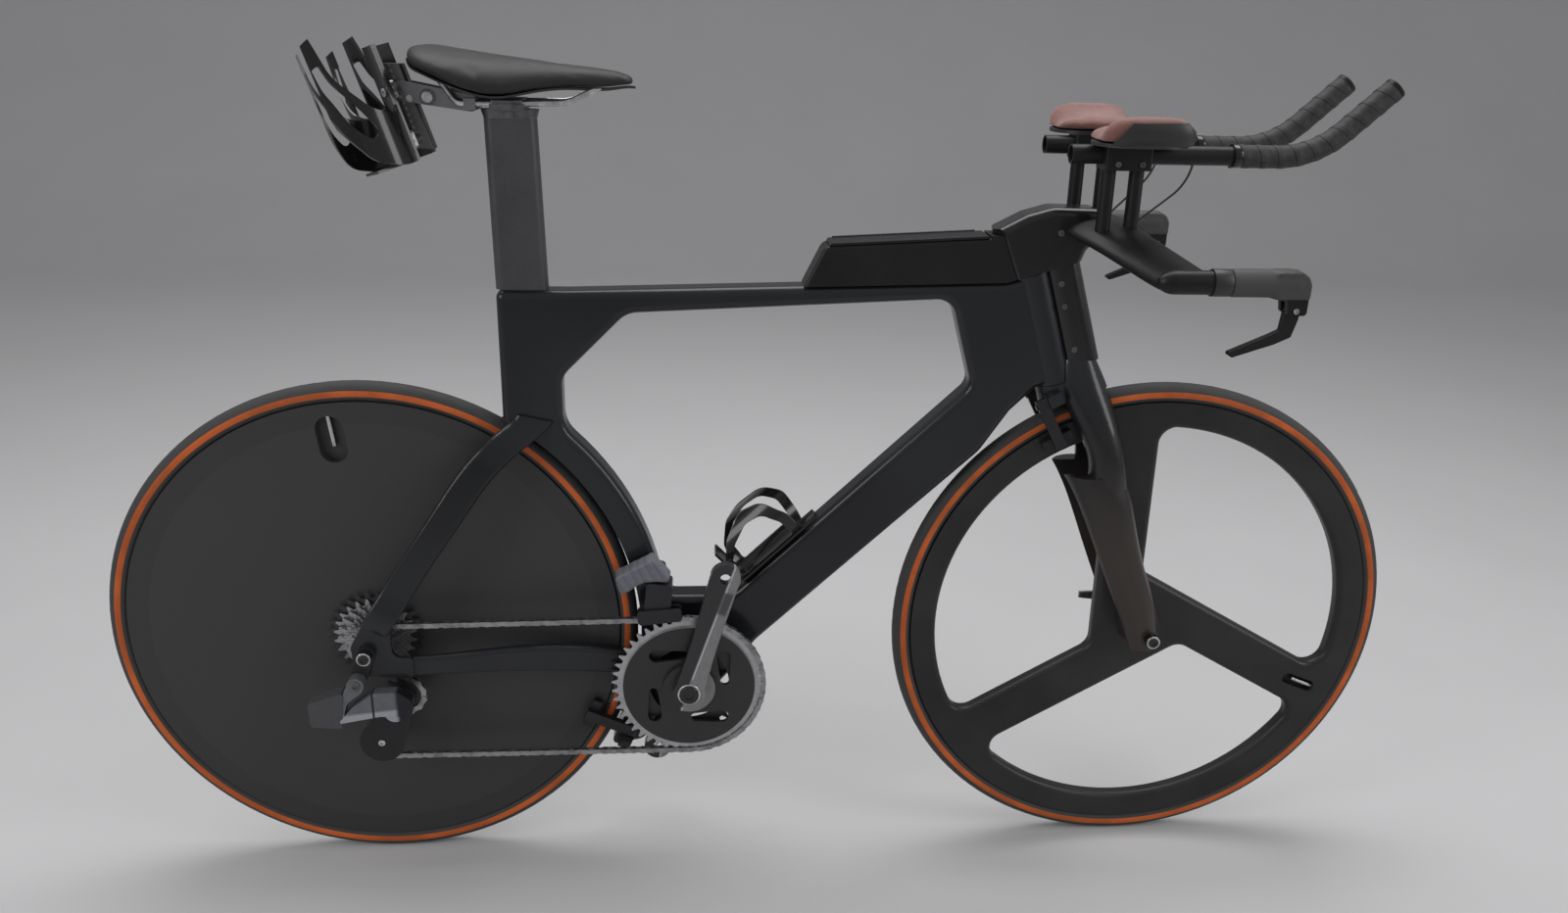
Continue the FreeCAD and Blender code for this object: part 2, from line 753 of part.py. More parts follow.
def make_chain():
    """Two rows of side plates round the loop, with rollers on the free upper and lower runs."""
    plates = []
    for side in SIDES:
        y0, y1 = sorted((CHAIN_Y + side * PLATE_IN, CHAIN_Y + side * PLATE_OUT))
        outer = Part.Face(loop_wire(chain_wheels(CHAIN_HALF_H), y0))
        inner = Part.Face(loop_wire(chain_wheels(-CHAIN_HALF_H), y0))
        plates.append(outer.cut(inner).extrude(V(0, y1 - y0, 0)))
    wheels = chain_wheels(0)
    rollers = []
    for a, b in ((wheels[3], wheels[0]), (wheels[1], wheels[0])):
        if a is wheels[3]:
            start, stop = tangent_run(a, b)
        else:
            stop, start = tangent_run(b, a)
        run = stop - start
        count = int(run.Length / CHAIN_PITCH)
        for i in range(2, count - 4):
            centre = start + V(run).normalize() * (i * CHAIN_PITCH)
            rollers.append(pin_y(centre, ROLLER_R, CHAIN_Y - PLATE_OUT, CHAIN_Y + PLATE_OUT))
    return plates[0].multiFuse([plates[1]] + rollers)


def cog_y(i):
    return CHAIN_Y + (i - COG_IN_USE) * COG_STEP


def make_cassette():
    """The freehub with its sprockets, smallest outside."""
    axle = rear(0, 0)
    outside = cog_y(0) - COG_T - 1.5
    inside = cog_y(len(COG_TEETH) - 1) + COG_T
    pieces = [pin_y(axle, 15, outside, inside)]
    for i, teeth in enumerate(COG_TEETH):
        pieces.append(toothed(axle, teeth, cog_y(i) - COG_T / 2, cog_y(i) + COG_T / 2))
    body = pieces[0].multiFuse(pieces[1:])
    return body.cut(pin_y(axle, AXLE_R + RUN_FIT, -REAR_SPAN, REAR_SPAN))


def crank_way(s, side, y):
    """A point s along one crank arm from the crank axis."""
    turn = CRANK_ANGLE if side < 0 else CRANK_ANGLE + 180
    return polar(crank(0, 0), s, turn, y)


def make_crank_arm(side):
    """A crank arm that tapers to the pedal eye. The right one carries the ring's seat and the spindle."""
    turn = math.radians(CRANK_ANGLE)
    wide = V(-math.sin(turn), 0, math.cos(turn))
    y_in = CRANK_Y
    rows = [(10, 19.5, 0, CRANK_T / 2), (CRANK_LENGTH * 0.4, 17, 1, CRANK_T / 2 - 0.6),
            (CRANK_LENGTH * 0.75, 18, 2, CRANK_T / 2 - 0.8), (CRANK_LENGTH - 4, 19, 3, CRANK_T / 2 - 1)]
    wires = []
    for s, half, out, thick in rows:
        centre = crank_way(s, side, side * (y_in + CRANK_T / 2 + out))
        wires.append(section(centre, wide, ACROSS, half, thick, 0.55))
    eye = sorted((side * (y_in + 4), side * (y_in + CRANK_T + 3)))
    boss = sorted((side * y_in, side * (y_in + CRANK_T)))
    pieces = [loft(wires), pin_y(crank(0, 0), 21, *boss), pin_y(crank_way(CRANK_LENGTH, side, 0), 19, *eye)]
    ring_face = CHAIN_Y - RING_T / 2 - RING_WEB
    spindle_root = ring_face + 4
    if side < 0:
        pieces.append(pin_y(crank(0, 0), 34, -CRANK_Y, ring_face))
        pieces.append(pin_y(crank(0, 0), RING_SEAT_R, -CRANK_Y, spindle_root))
    arm = join(pieces)
    arm = arm.cut(pin_y(crank_way(CRANK_LENGTH, side, 0), PEDAL_R, -2 * CRANK_Y, 2 * CRANK_Y))
    if side > 0:
        return arm
    return Part.makeCompound([arm, pin_y(crank(0, 0), SPINDLE_R, spindle_root, CRANK_Y)])


RING_SLOTS = 4


def make_large_ring():
    """The outer chainring: a closed face with slots, and a toothed rim."""
    centre = crank(0, 0)
    rim = toothed(centre, LARGE_TEETH, CHAIN_Y - RING_T / 2, CHAIN_Y + RING_T / 2)
    web = pin_y(centre, RING_R - 11, CHAIN_Y - RING_T / 2 - RING_WEB, CHAIN_Y + RING_T / 2)
    ring = rim.fuse(web).cut(pin_y(centre, RING_SEAT_R + SEAT_FIT, CHAIN_Y - 20, CHAIN_Y + 20))
    for i in range(RING_SLOTS):
        a = CRANK_ANGLE + (i + 0.5) * 360 / RING_SLOTS
        slot = capsule(polar(centre, 47, a - 20), 6, polar(centre, 62, a + 14), 9, CHAIN_Y - 20, CHAIN_Y + 20)
        ring = ring.cut(slot)
    return ring


def make_small_ring():
    centre = crank(0, 0)
    y = CHAIN_Y + RING_STEP
    ring = toothed(centre, SMALL_TEETH, y - RING_T / 2, y + RING_T / 2)
    ring = ring.cut(pin_y(centre, 52, y - 5, y + 5))
    posts = []
    for i in range(4):
        at = polar(centre, 57, CRANK_ANGLE + i * 90)
        posts.append(pin_y(at, 5, CHAIN_Y + RING_T / 2, y + RING_T / 2))
    return ring.multiFuse(posts)


def make_hanger():
    outer = -REAR_SPAN / 2 - DROPOUT_T
    plate = capsule(rear(0, 0), 11, rear(*HANGER_BOLT), 10, outer - HANGER_T, outer)
    return plate.cut(pin_y(rear(0, 0), AXLE_R, outer - 20, outer + 20))


def knuckle_y():
    return CHAIN_Y - CAGE_SPAN / 2 - CAGE_T - NOSE_GAP


def make_derailleur_body():
    """The fixed part of the rear derailleur: arm on the hanger, outer link and lower knuckle."""
    outer = -REAR_SPAN / 2 - DROPOUT_T - HANGER_T
    eye = pin_y(rear(*HANGER_BOLT), 10.5, outer - 15, outer)
    arm = prism([(rear(-3, -29), 5), (rear(-9, -24), 6), (rear(-25, -37), 14), (rear(-38, -84), 2),
                 (rear(-32, -86), 2), (rear(-24, -58), 20), (rear(-4, -43), 5)], outer - 15, outer)
    link = prism([(rear(-37, -86), 2), (rear(-18, -63), 40), (rear(9, -43), 10), (rear(40, -42), 8),
                  (rear(56, -54), 8), (rear(55, -66), 6), (rear(38, -77), 8), (rear(16, -76), 20)],
                 outer - 18, outer - 3)
    knuckle = pin_y(rear(*CAGE_PIVOT), 13, outer - 13, knuckle_y())
    body = join([eye, arm, link, knuckle])
    return body.cut(pin_y(rear(*CAGE_PIVOT), CAGE_PIN_R + RUN_FIT, outer + 2, 0))


def make_battery(body):
    outer = -REAR_SPAN / 2 - DROPOUT_T - HANGER_T
    points = [rear(-72, -58), rear(-27, -43), rear(-33, -94), rear(-71, -91)]
    battery = plain(points, 4, outer - 16, outer + 5).cut(body)
    return max(battery.Solids, key=lambda s: s.Volume)


def make_derailleur_cage():
    """Two plates that hold the pulley wheels, with the pin that turns in the knuckle."""
    near = CHAIN_Y - CAGE_SPAN / 2
    far = CHAIN_Y + CAGE_SPAN / 2
    upper = rear(*UPPER_PULLEY)
    lower = rear(*LOWER_PULLEY)
    outer = -REAR_SPAN / 2 - DROPOUT_T - HANGER_T
    pieces = [
        capsule(upper, 14, lower, PULLEY_R + CHAIN_HALF_H, near - CAGE_T, near),
        capsule(upper, 14, lower, 11, far, far + CAGE_T),
        pin_y(upper, PULLEY_PIN_R, near, far),
        pin_y(lower, PULLEY_PIN_R, near, far),
        pin_y(rear(*CAGE_PIVOT), CAGE_PIN_R, outer + 3, near),
    ]
    return join(pieces)


def make_pulley(place):
    centre = rear(*place)
    wheel = toothed(centre, PULLEY_TEETH, CHAIN_Y - RING_T / 2, CHAIN_Y + RING_T / 2)
    wheel = wheel.fuse(pin_y(centre, 9, CHAIN_Y - PULLEY_W / 2, CHAIN_Y + PULLEY_W / 2))
    return wheel.cut(pin_y(centre, PULLEY_PIN_R + RUN_FIT, CHAIN_Y - 20, CHAIN_Y + 20))


def make_front_derailleur():
    """A body on the seat tube's flank and a fixed cage around the chain."""
    flank = -FRAME_W / 2
    body = plain([crank(-57, 111), crank(-24, 105), crank(-20, 145), crank(-53, 149)], 5, CHAIN_Y - 4, flank)
    foot = plain([crank(-52, 125), crank(-22, 125), crank(-30, 165), crank(-60, 175)], 6, flank - 6, flank)
    near = CHAIN_Y - 6
    far = CHAIN_Y + 5
    points = [crank(-64, RING_R - 6), crank(-8, RING_R), crank(-10, RING_R + 18), crank(-66, RING_R + 14)]
    plates = [plain(points, 5, near - 1.5, near), plain(points, 5, far, far + 1.5)]
    bridge = block(crank(-52, RING_R + 9, near), crank(-30, RING_R + 14, far))
    return join([body, foot, bridge] + plates)


def make_tape_wrap():
    """The lump of tape wound round the front derailleur's motor."""
    flank = -FRAME_W / 2 - 6
    points = [crank(-94, 157), crank(-45, 183), crank(-22, 155), crank(-26, 150.5), crank(-55, 150.5),
              crank(-86, 131)]
    lump = plain(points, 4, CHAIN_Y - 6, flank)
    return lump.makeFillet(3, edges_where(lump, lambda e: abs(e.BoundBox.YMax - e.BoundBox.YMin) < 1e-6))


def make_skewer(axle, right_face, left_face):
    """An axle rod with a nut on the drive side and a seat for the lever on the other."""
    nut = pin_y(axle, SKEWER_R, -right_face - SKEWER_NUT, -right_face)
    seat = pin_y(axle, SKEWER_R, left_face, left_face + SKEWER_SEAT)
    return join([pin_y(axle, AXLE_R, -right_face - 2, left_face + 2), nut, seat])


def make_qr_lever(axle, left_face, way):
    """A quick release lever whose barrel turns about an upright axis."""
    y = left_face + SKEWER_SEAT + BARREL_R + LID_GAP
    barrel = Part.makeCylinder(BARREL_R, 14, flat(axle, y) - UP * 7, UP)
    blade = loft([section(flat(axle, y + 1) + V(way * 4, 0, 0), UP, ACROSS, 5.5, 3.5),
                  section(flat(axle, y - 1) + V(way * 34, 0, 0), UP, ACROSS, 6.5, 2.6),
                  section(flat(axle, y + 1) + V(way * 56, 0, 0), UP, ACROSS, 5, 2.4)])
    return join([barrel, blade])


def turned(points, centre):
    """A solid of revolution about a wheel's axle from (radius, y) points."""
    wire = Part.makePolygon([V(r, y, 0) for r, y in points + points[:1]])
    body = Part.Face(wire).revolve(ORIGIN, ACROSS, 360)
    body.translate(centre)
    return body


def make_tyre(axle):
    """A tyre of round section on the rim's seat."""
    middle = WHEEL_R - TYRE_W / 2
    body = Part.makeTorus(middle, TYRE_W / 2, axle, ACROSS)
    return body.cut(pin_y(axle, RIM_R, -TYRE_W, TYRE_W))


def bearing_pair(axle, ends):
    rings = []
    for y in ends:
        rings.append(ring_y(axle, AXLE_R + RUN_FIT, BEARING_R, y - BEARING_W / 2, y + BEARING_W / 2))
    return Part.makeCompound(rings)


REAR_VALVE_ANGLE = 97.0
FRONT_VALVE_ANGLE = -22.0
REAR_POCKET_R = RIM_R - BRAKE_TRACK / 2 - 3
FRONT_POCKET_R = RIM_R - RIM_DEPTH + 8
REAR_BEARINGS = (-8.0, REAR_SPAN / 2 - 8.0)
FRONT_BEARINGS = (6.0 - FRONT_SPAN / 2, FRONT_SPAN / 2 - 6.0)


def valve_pocket(axle, degrees, top_r, width, length):
    """A round-ended pocket in the drive side face of a wheel."""
    r = width / 2
    high = polar(axle, top_r - r, degrees)
    low = polar(axle, top_r - length + r, degrees)
    return capsule(high, r, low, r, -RIM_W, VALVE_Y + VALVE_R + VALVE_ROOM)


def make_valve(wheel, axle, degrees, top_r, length):
    """A valve stem that comes out of the rim into its pocket."""
    a = polar(axle, top_r + VALVE_R, degrees, VALVE_Y)
    b = polar(axle, top_r - length, degrees, VALVE_Y)
    stem = rod(a, b, VALVE_R).cut(wheel)
    return min(stem.Solids, key=lambda s: s.CenterOfMass.distanceToPoint(b))


def make_rear_disc():
    """The rear disc wheel with its hub, one bonded piece."""
    axle = rear(0, 0)
    half = RIM_W / 2
    left_end = REAR_SPAN / 2 - 2
    bore = AXLE_R + 2
    profile = [
        (bore, -DISC_DISH_RIGHT), (DISC_HUB_R, -DISC_DISH_RIGHT), (RIM_R - BRAKE_TRACK, -half), (RIM_R, -half),
        (RIM_R, half), (RIM_R - BRAKE_TRACK, half), (DISC_HUB_R, DISC_DISH_LEFT),
        (BEARING_R + 6, DISC_DISH_LEFT + 6), (BEARING_R + 4, left_end), (bore, left_end),
    ]
    disc = turned(profile, axle)
    for y in REAR_BEARINGS:
        disc = disc.cut(pin_y(axle, BEARING_R, y - BEARING_W / 2, y + BEARING_W / 2))
    return disc.cut(valve_pocket(axle, REAR_VALVE_ANGLE, REAR_POCKET_R, VALVE_POCKET_W, VALVE_POCKET_L))


def half_plane(degrees, offset, side):
    """A large block on one side of a line at an angle, offset to its left."""
    big = 2 * WHEEL_R
    low = 0 if side > 0 else -big
    body = Part.makeBox(2 * big, RIM_W, big, V(-big, -RIM_W / 2, low + offset))
    body.rotate(ORIGIN, ACROSS, -degrees)
    return body


def make_trispoke():
    """The front wheel: a deep rim on three blades that pass to one side of the axle."""
    axle = front(0, 0)
    half = RIM_W / 2
    inner_r = RIM_R - RIM_DEPTH
    high = SPOKE_LEAN + SPOKE_W / 2
    low = SPOKE_LEAN - SPOKE_W / 2
    window = pin_y(ORIGIN, inner_r, -half, half)
    window = window.common(half_plane(SPOKE_TURN, high, 1)).common(half_plane(SPOKE_TURN + 120, low, -1))
    window = window.makeFillet(WINDOW_ROUND, edges_where(window, along_y))
    wheel = pin_y(ORIGIN, RIM_R, -half, half)
    for i in range(3):
        copy = window.copy()
        copy.rotate(ORIGIN, ACROSS, -120 * i)
        wheel = wheel.cut(copy)
    rims = edges_where(wheel, lambda e: on_faces(e, half) and e.BoundBox.DiagonalLength < 2 * inner_r)
    wheel = wheel.makeFillet(BLADE_ROUND, rims)
    hub_end = FRONT_SPAN / 2 - 2
    hub = loft([Part.Wire(Part.Circle(V(0, y, 0), ACROSS, r).toShape())
                for y, r in ((-hub_end, 18), (-half, 30), (half, 30), (hub_end, 18))], True)
    wheel = wheel.fuse(hub).removeSplitter()
    wheel.translate(axle)
    wheel = wheel.cut(pin_y(axle, AXLE_R + 2, -FRONT_SPAN, FRONT_SPAN))
    for y in FRONT_BEARINGS:
        wheel = wheel.cut(pin_y(axle, BEARING_R, y - BEARING_W / 2, y + BEARING_W / 2))
    return wheel.cut(valve_pocket(axle, FRONT_VALVE_ANGLE, FRONT_POCKET_R, FRONT_POCKET_W, FRONT_POCKET_L))


def fork_loft(rows):
    wires = []
    for h, a, b, half in rows:
        wires.append(section(front((a + b) / 2, h), AHEAD, ACROSS, (b - a) / 2, half, 0.85))
    return loft(wires)


FORK_TOP = HEAD_RISE + 30.0
SLOT_HALF = 20.0


def make_fork():
    """Crown, two deep blades and the steerer tube in one piece."""
    axle = front(0, 0)
    inner = FRONT_SPAN / 2
    blades = fork_loft([(-18, -26, 10, inner + 10), (10, -37, 14, inner + 11),
                        (FORK_TOP * 0.241, -70, -10, inner + 8), (FORK_TOP * 0.434, -100, -30, inner + 4),
                        (FORK_TOP * 0.599, -133, -51, inner - 1)])
    crown = fork_loft([(FORK_TOP * 0.556, -102, -46, inner), (FORK_TOP * 0.745, -115, -62, inner - 5),
                       (FORK_TOP * 0.881, -143, -77, inner - 16), (FORK_TOP, -145, -99, 22)])
    flank = [(inner, -60), (inner, 12), (SLOT_HALF + 3, CUT_R * 0.768), (SLOT_HALF, CUT_R)]
    outline = flank + [(-y, h) for y, h in reversed(flank)]
    slot = Part.makePolygon([axle + V(-WHEEL_R, y, h) for y, h in outline + outline[:1]])
    slot = Part.Face(slot).extrude(V(2 * WHEEL_R, 0, 0))
    slot = slot.common(pin_y(axle, CUT_R - 1, -FRONT_SPAN, FRONT_SPAN))
    race = rod(head(0, -24), head(0, -NOSE_GAP), NOSE_R)
    body = join([blades, crown, race] + [brake_place(brake_lug(s), axle, FRONT_BRAKE_ANGLE) for s in SIDES])
    body = body.cut(slot)
    body = body.cut(rod(head(0, -NOSE_GAP), head(0, HEAD_LENGTH), NOSE_R + NOSE_GAP))
    steerer = rod(head(0, -12), head(0, HEAD_LENGTH + 22), STEERER_R)
    body = body.fuse(steerer).removeSplitter()
    return body.cut(pin_y(axle, AXLE_R, -FRONT_SPAN, FRONT_SPAN))


COLUMN_FRONT = 60.0
COLUMN_W = 44.0


def make_column():
    """The steerer column that stands in front of the head tube, from the crown to the stem."""
    back = 14
    middle = head((back + COLUMN_FRONT) / 2, 5)
    foot = section(middle, FORE, ACROSS, (COLUMN_FRONT - back) / 2, COLUMN_W / 2, 0.8)
    body = Part.Face(foot).extrude(AXIS * (HEAD_LENGTH + NOSE_GAP - 5))
    body = body.cut(rod(head(0, -40), head(0, HEAD_LENGTH + 40), NOSE_R + NOSE_GAP))
    level = front(0, FORK_TOP).z
    return body.cut(Part.makeBox(400, 400, 400, V(head(0, 0).x - 200, -200, level - 400)))


STEM_W = 48.0


def stem_back(extra):
    """The round back of the stem about the steering axis, with some room around it."""
    low = HEAD_LENGTH + NOSE_GAP
    top_r = STEM_BACK_R + STEM_FLARE + extra
    cone = Part.makeCone(STEM_BACK_R + extra, top_r, STEM_BACK_H, head(0, low), AXIS)
    return cone.fuse(rod(head(0, low + STEM_BACK_H), head(0, low + STEM_BACK_H + 30), top_r))


def make_stem(base_bar):
    """The stem: a cone about the steering axis behind, and a snout that takes the base bar."""
    half = STEM_W / 2
    low = HEAD_LENGTH + NOSE_GAP
    outline = [
        (head(-STEM_BACK_R - 4, low), 0),
        (bar(-54, 51), 6),
        (bar(-14, 72), 18),
        (bar(17, 81), 40),
        (bar(69, 80), 14),
        (bar(108, 60), 5),
        (bar(88, 44), 16),
        (bar(62, 32), 12),
        (head(COLUMN_FRONT, low), 0),
    ]
    body = prism(outline, -half, half)
    upper = edges_where(body, lambda e: on_faces(e, half) and e.BoundBox.ZMax > head(0, low + 30).z)
    body = body.makeFillet(9, upper)
    back = stem_back(0)
    behind = Part.makeBox(200, 200, 200, V(-200, -100, -40))
    behind.rotate(ORIGIN, ACROSS, -HEAD_TILT)
    behind.translate(head(0, low))
    body = body.cut(behind.cut(back))
    body = body.cut(base_bar)
    body = body.cut(rod(head(0, low - 10), head(0, HEAD_LENGTH + 22), STEERER_R))
    return max(body.Solids, key=lambda s: s.Volume)


HORN_START = 81.0
GRIP_START = 122.0
HORN_END = 226.0
HORN_H = 31.0
LEVER_PIVOT = (HORN_END + 5.0, HORN_H - 28.0)
LEVER_T = 9.0
LEVER_EYE_R = 8.0
LEVER_ROOM = 0.5
HOUSING_WALL = 6.5


def horn(side, extra, x0, x1):
    """The forward-pointing end of the base bar, or the grip around it."""
    y = side * BAR_SPREAD
    return loft([oval(bar(x, h, y), UP, ACROSS, HORN_R + 1 + extra, HORN_R + extra)
                 for x, h in ((x0, HORN_H), ((x0 + x1) / 2, HORN_H), (x1, HORN_H))])


def make_base_bar():
    """A wing that drops and sweeps to both horns, with the lever housings at their ends."""
    rows = [(0, 70, 58, 38, 12, 7), (25, 71, 57.5, 38, 12, 7), (110, 90, 45, 30, 11, 14),
            (180, 105, 34, 27, 11, 17), (BAR_SPREAD, 110, HORN_H, 25, 11, 17)]
    pieces = []
    for side in SIDES:
        wires = []
        for y, x, h, chord, thick, rise in rows:
            a = math.radians(rise)
            along = V(math.cos(a), 0, math.sin(a))
            wires.append(oval(bar(x, h, side * y), along, along.cross(ACROSS) * -1, chord, thick))
        tail = loft([oval(bar(x, HORN_H, side * BAR_SPREAD), UP, ACROSS, r + 1, r)
                     for x, r in ((HORN_START, 4), (HORN_START + 5, 8.5), (HORN_START + 18, HORN_R))])
        pieces += [loft(wires), tail, horn(side, 0, HORN_START + 18, HORN_END), lever_housing(side)]
    return join(pieces)


def lever_housing(side):
    """The end of a horn: it turns down into a fork with the lever's pin."""
    y = side * BAR_SPREAD
    half = LEVER_T / 2 + HOUSING_WALL
    x = HORN_END
    h = HORN_H
    outline = [(bar(x - 5, h + 14), 2), (bar(x + 17, h + 14), 16), (bar(x + 17, h - 33), 4),
               (bar(x - 4, h - 33), 4), (bar(x - 7, h - 13), 4)]
    room = LEVER_T / 2 + LEVER_ROOM
    gap = block(bar(x - 20, h - 50, y - room), bar(x + 35, LEVER_PIVOT[1] + LEVER_EYE_R + 1, y + room))
    pin = pin_y(bar(*LEVER_PIVOT), LEVER_PIN_R, y - half, y + half)
    return prism(outline, y - half, y + half).cut(gap).fuse(pin)


def make_grips(base_bar):
    grips = [horn(s, GRIP_T, GRIP_START, HORN_END - 8).cut(base_bar) for s in SIDES]
    return Part.makeCompound([max(g.Solids, key=lambda s: s.Volume) for g in grips])


def make_lever(side):
    y = side * BAR_SPREAD
    outline = [(8, -1), (7, -11), (2, -30), (-15, -38), (-60, -53), (-67, -49), (-22, -29), (-10, -23),
               (-8, -1)]
    points = [bar(LEVER_PIVOT[0] + x, LEVER_PIVOT[1] + h) for x, h in outline]
    blade = plain(points, 2.5, y - LEVER_T / 2, y + LEVER_T / 2)
    eye = pin_y(bar(*LEVER_PIVOT), LEVER_EYE_R, y - LEVER_T / 2, y + LEVER_T / 2)
    return join([blade, eye]).cut(pin_y(bar(*LEVER_PIVOT), LEVER_PIN_R + RUN_FIT, y - 20, y + 20))


EXT_H = 147.0
EXT_REAR = 19.0
EXT_CORNER = 305.0
EXT_END = (386.0, 223.0)
TAPE_START = 213.0
WIRE_START = 164.0
CLAMP_X = (54.0, 108.0)
CLAMP_H = (131.0, 160.0)
RISER_X = (64.0, 97.0)
PLUG_T = 5.0
BUTTON_R = 7.0
BUTTON_TRAVEL = 1.5


def ext_path(side, start):
    y = side * EXT_SPREAD
    points = [bar(start, EXT_H, y), bar(EXT_CORNER, EXT_H, y), bar(EXT_END[0], EXT_END[1], y)]
    return tube_path(points, (EXT_BEND_R,))


def ext_way():
    return (bar(*EXT_END) - bar(EXT_CORNER, EXT_H)).normalize()


def make_extensions():
    bars = []
    for side in SIDES:
        path = ext_path(side, EXT_REAR)
        bars.append(tube(path, EXT_R).cut(tube(path, EXT_BORE_R)))
        end = bar(EXT_END[0], EXT_END[1], side * EXT_SPREAD)
        plug = rod(end, end + ext_way() * PLUG_T, EXT_R + TAPE_T)
        plug = plug.makeFillet(1.5, edges_where(plug, lambda e: e.BoundBox.ZMax > end.z + PLUG_T + 5))
        bars.append(plug.cut(rod(end - ext_way() * 9, end + ext_way() * 9, BUTTON_R + RUN_FIT)))
    return Part.makeCompound(bars)


def make_button(side):
    """The shift button in the end of an extension."""
    end = bar(EXT_END[0], EXT_END[1], side * EXT_SPREAD)
    button = rod(end - ext_way() * 6, end + ext_way() * (PLUG_T + BUTTON_TRAVEL + 0.5), BUTTON_R)
    far = max(button.Edges, key=lambda e: e.BoundBox.ZMax)
    return button.makeFillet(1, [far])


def make_ext_tape():
    wraps = []
    for side in SIDES:
        path = ext_path(side, TAPE_START)
        wraps.append(tube(path, EXT_R + TAPE_T).cut(tube(ext_path(side, EXT_REAR), EXT_R)))
    return Part.makeCompound(wraps)


def make_clamps():
    """A block round each extension, on the risers and under the pad cup."""
    clamps = []
    for side in SIDES:
        y0, y1 = sorted((side * (EXT_SPREAD - 15), side * (EXT_SPREAD + 22)))
        body = block(bar(CLAMP_X[0], CLAMP_H[0], y0), bar(CLAMP_X[1], CLAMP_H[1], y1))
        body = body.makeFillet(3, edges_where(body, lambda e: e.BoundBox.ZMax - e.BoundBox.ZMin > 10))
        clamps.append(body.cut(tube(ext_path(side, EXT_REAR), EXT_R)))
    return Part.makeCompound(clamps)


def make_risers(base_bar, stem):
    posts = []
    for side in SIDES:
        for x in RISER_X:
            foot = bar(x, 50, side * (EXT_SPREAD + 4))
            post = rod(foot, bar(x, CLAMP_H[0], side * (EXT_SPREAD + 4)), RISER_R).cut(base_bar).cut(stem)
            posts.append(max(post.Solids, key=lambda s: s.Volume))
    return Part.makeCompound(posts)


PAD_ROWS = ((35, 22, 10), (42, 34, 22), (66, 43, 29), (100, 44, 29), (128, 39, 26), (139, 24, 12))
CUP_T = 4.0
CUP_WALL = 3.0
CUP_SINK = 1.7


def pad_wire(x, half, tall, drop):
    """A section of the right arm pad: a low inner edge, a shallow bed for the arm and a high outer lip."""
    base = bar(x, CLAMP_H[1] + CUP_T + COVER_GAP, -PAD_SPREAD)
    def at(out, h):
        return base + V(0, -out * half, h * tall - drop)
    edges = [
        Part.LineSegment(at(0.88, 0), at(-0.88, 0)).toShape(),
        Part.Arc(at(-0.88, 0), at(-0.97, 0.14), at(-1, 0.3)).toShape(),
        Part.Arc(at(-1, 0.3), at(-0.86, 0.48), at(-0.6, 0.5)).toShape(),
        Part.Arc(at(-0.6, 0.5), at(0, 0.55), at(0.5, 0.84)).toShape(),
        Part.Arc(at(0.5, 0.84), at(0.8, 1), at(0.97, 0.8)).toShape(),
        Part.Arc(at(0.97, 0.8), at(1, 0.45), at(0.88, 0)).toShape(),
    ]
    return Part.Wire(edges)


def pad_form(grow, drop):
    """The right arm pad, or a grown copy of it that lies lower."""
    return loft([pad_wire(x, half + grow, tall + grow, drop) for x, half, tall in PAD_ROWS])


def make_arm_pad(side):
    pad = pad_form(0, 0)
    return pad if side < 0 else mirrored(pad)


def make_pad_cups():
    """A plate under each pad with a wall that holds the front of the pad's outer flank."""
    x0 = PAD_ROWS[0][0]
    x1 = PAD_ROWS[-1][0]
    low = CLAMP_H[1]
    centre = bar((x0 + x1) / 2, low, -PAD_SPREAD)
    plate = Part.Face(section(centre, AHEAD, ACROSS, (x1 - x0) / 2 + 1, 42, 0.95)).extrude(UP * CUP_T)
    wall = pad_form(CUP_WALL, CUP_SINK).cut(pad_form(2 * COVER_GAP, COVER_GAP))
    outline = [bar(44, low + 1), bar(47, low + 8), bar(62, low + 27), bar(124, low + 28), bar(146, low + 10),
               bar(146, low + 1)]
    wall = wall.common(plain(outline, 0.5, -PAD_SPREAD - 60, -PAD_SPREAD - 12))
    cup = max(join([plate, wall]).Solids, key=lambda s: s.Volume)
    return Part.makeCompound([cup, mirrored(cup)])


def make_wires(base_bar):
    """The two thin shift wires, each from under an extension down into the base bar."""
    wires = []
    for side in SIDES:
        y = side * EXT_SPREAD
        low = side * (EXT_SPREAD - 14)
        points = [bar(WIRE_START, EXT_H, y), bar(WIRE_START - 2, EXT_H - 30, y)]
        points.append(bar(WIRE_START - 66, EXT_H - 88, low))
        wire = tube(tube_path(points, (60,)), WIRE_R).cut(base_bar).cut(tube(ext_path(side, EXT_REAR), EXT_R))
        wires.append(max(wire.Solids, key=lambda s: s.Volume))
    return Part.makeCompound(wires)


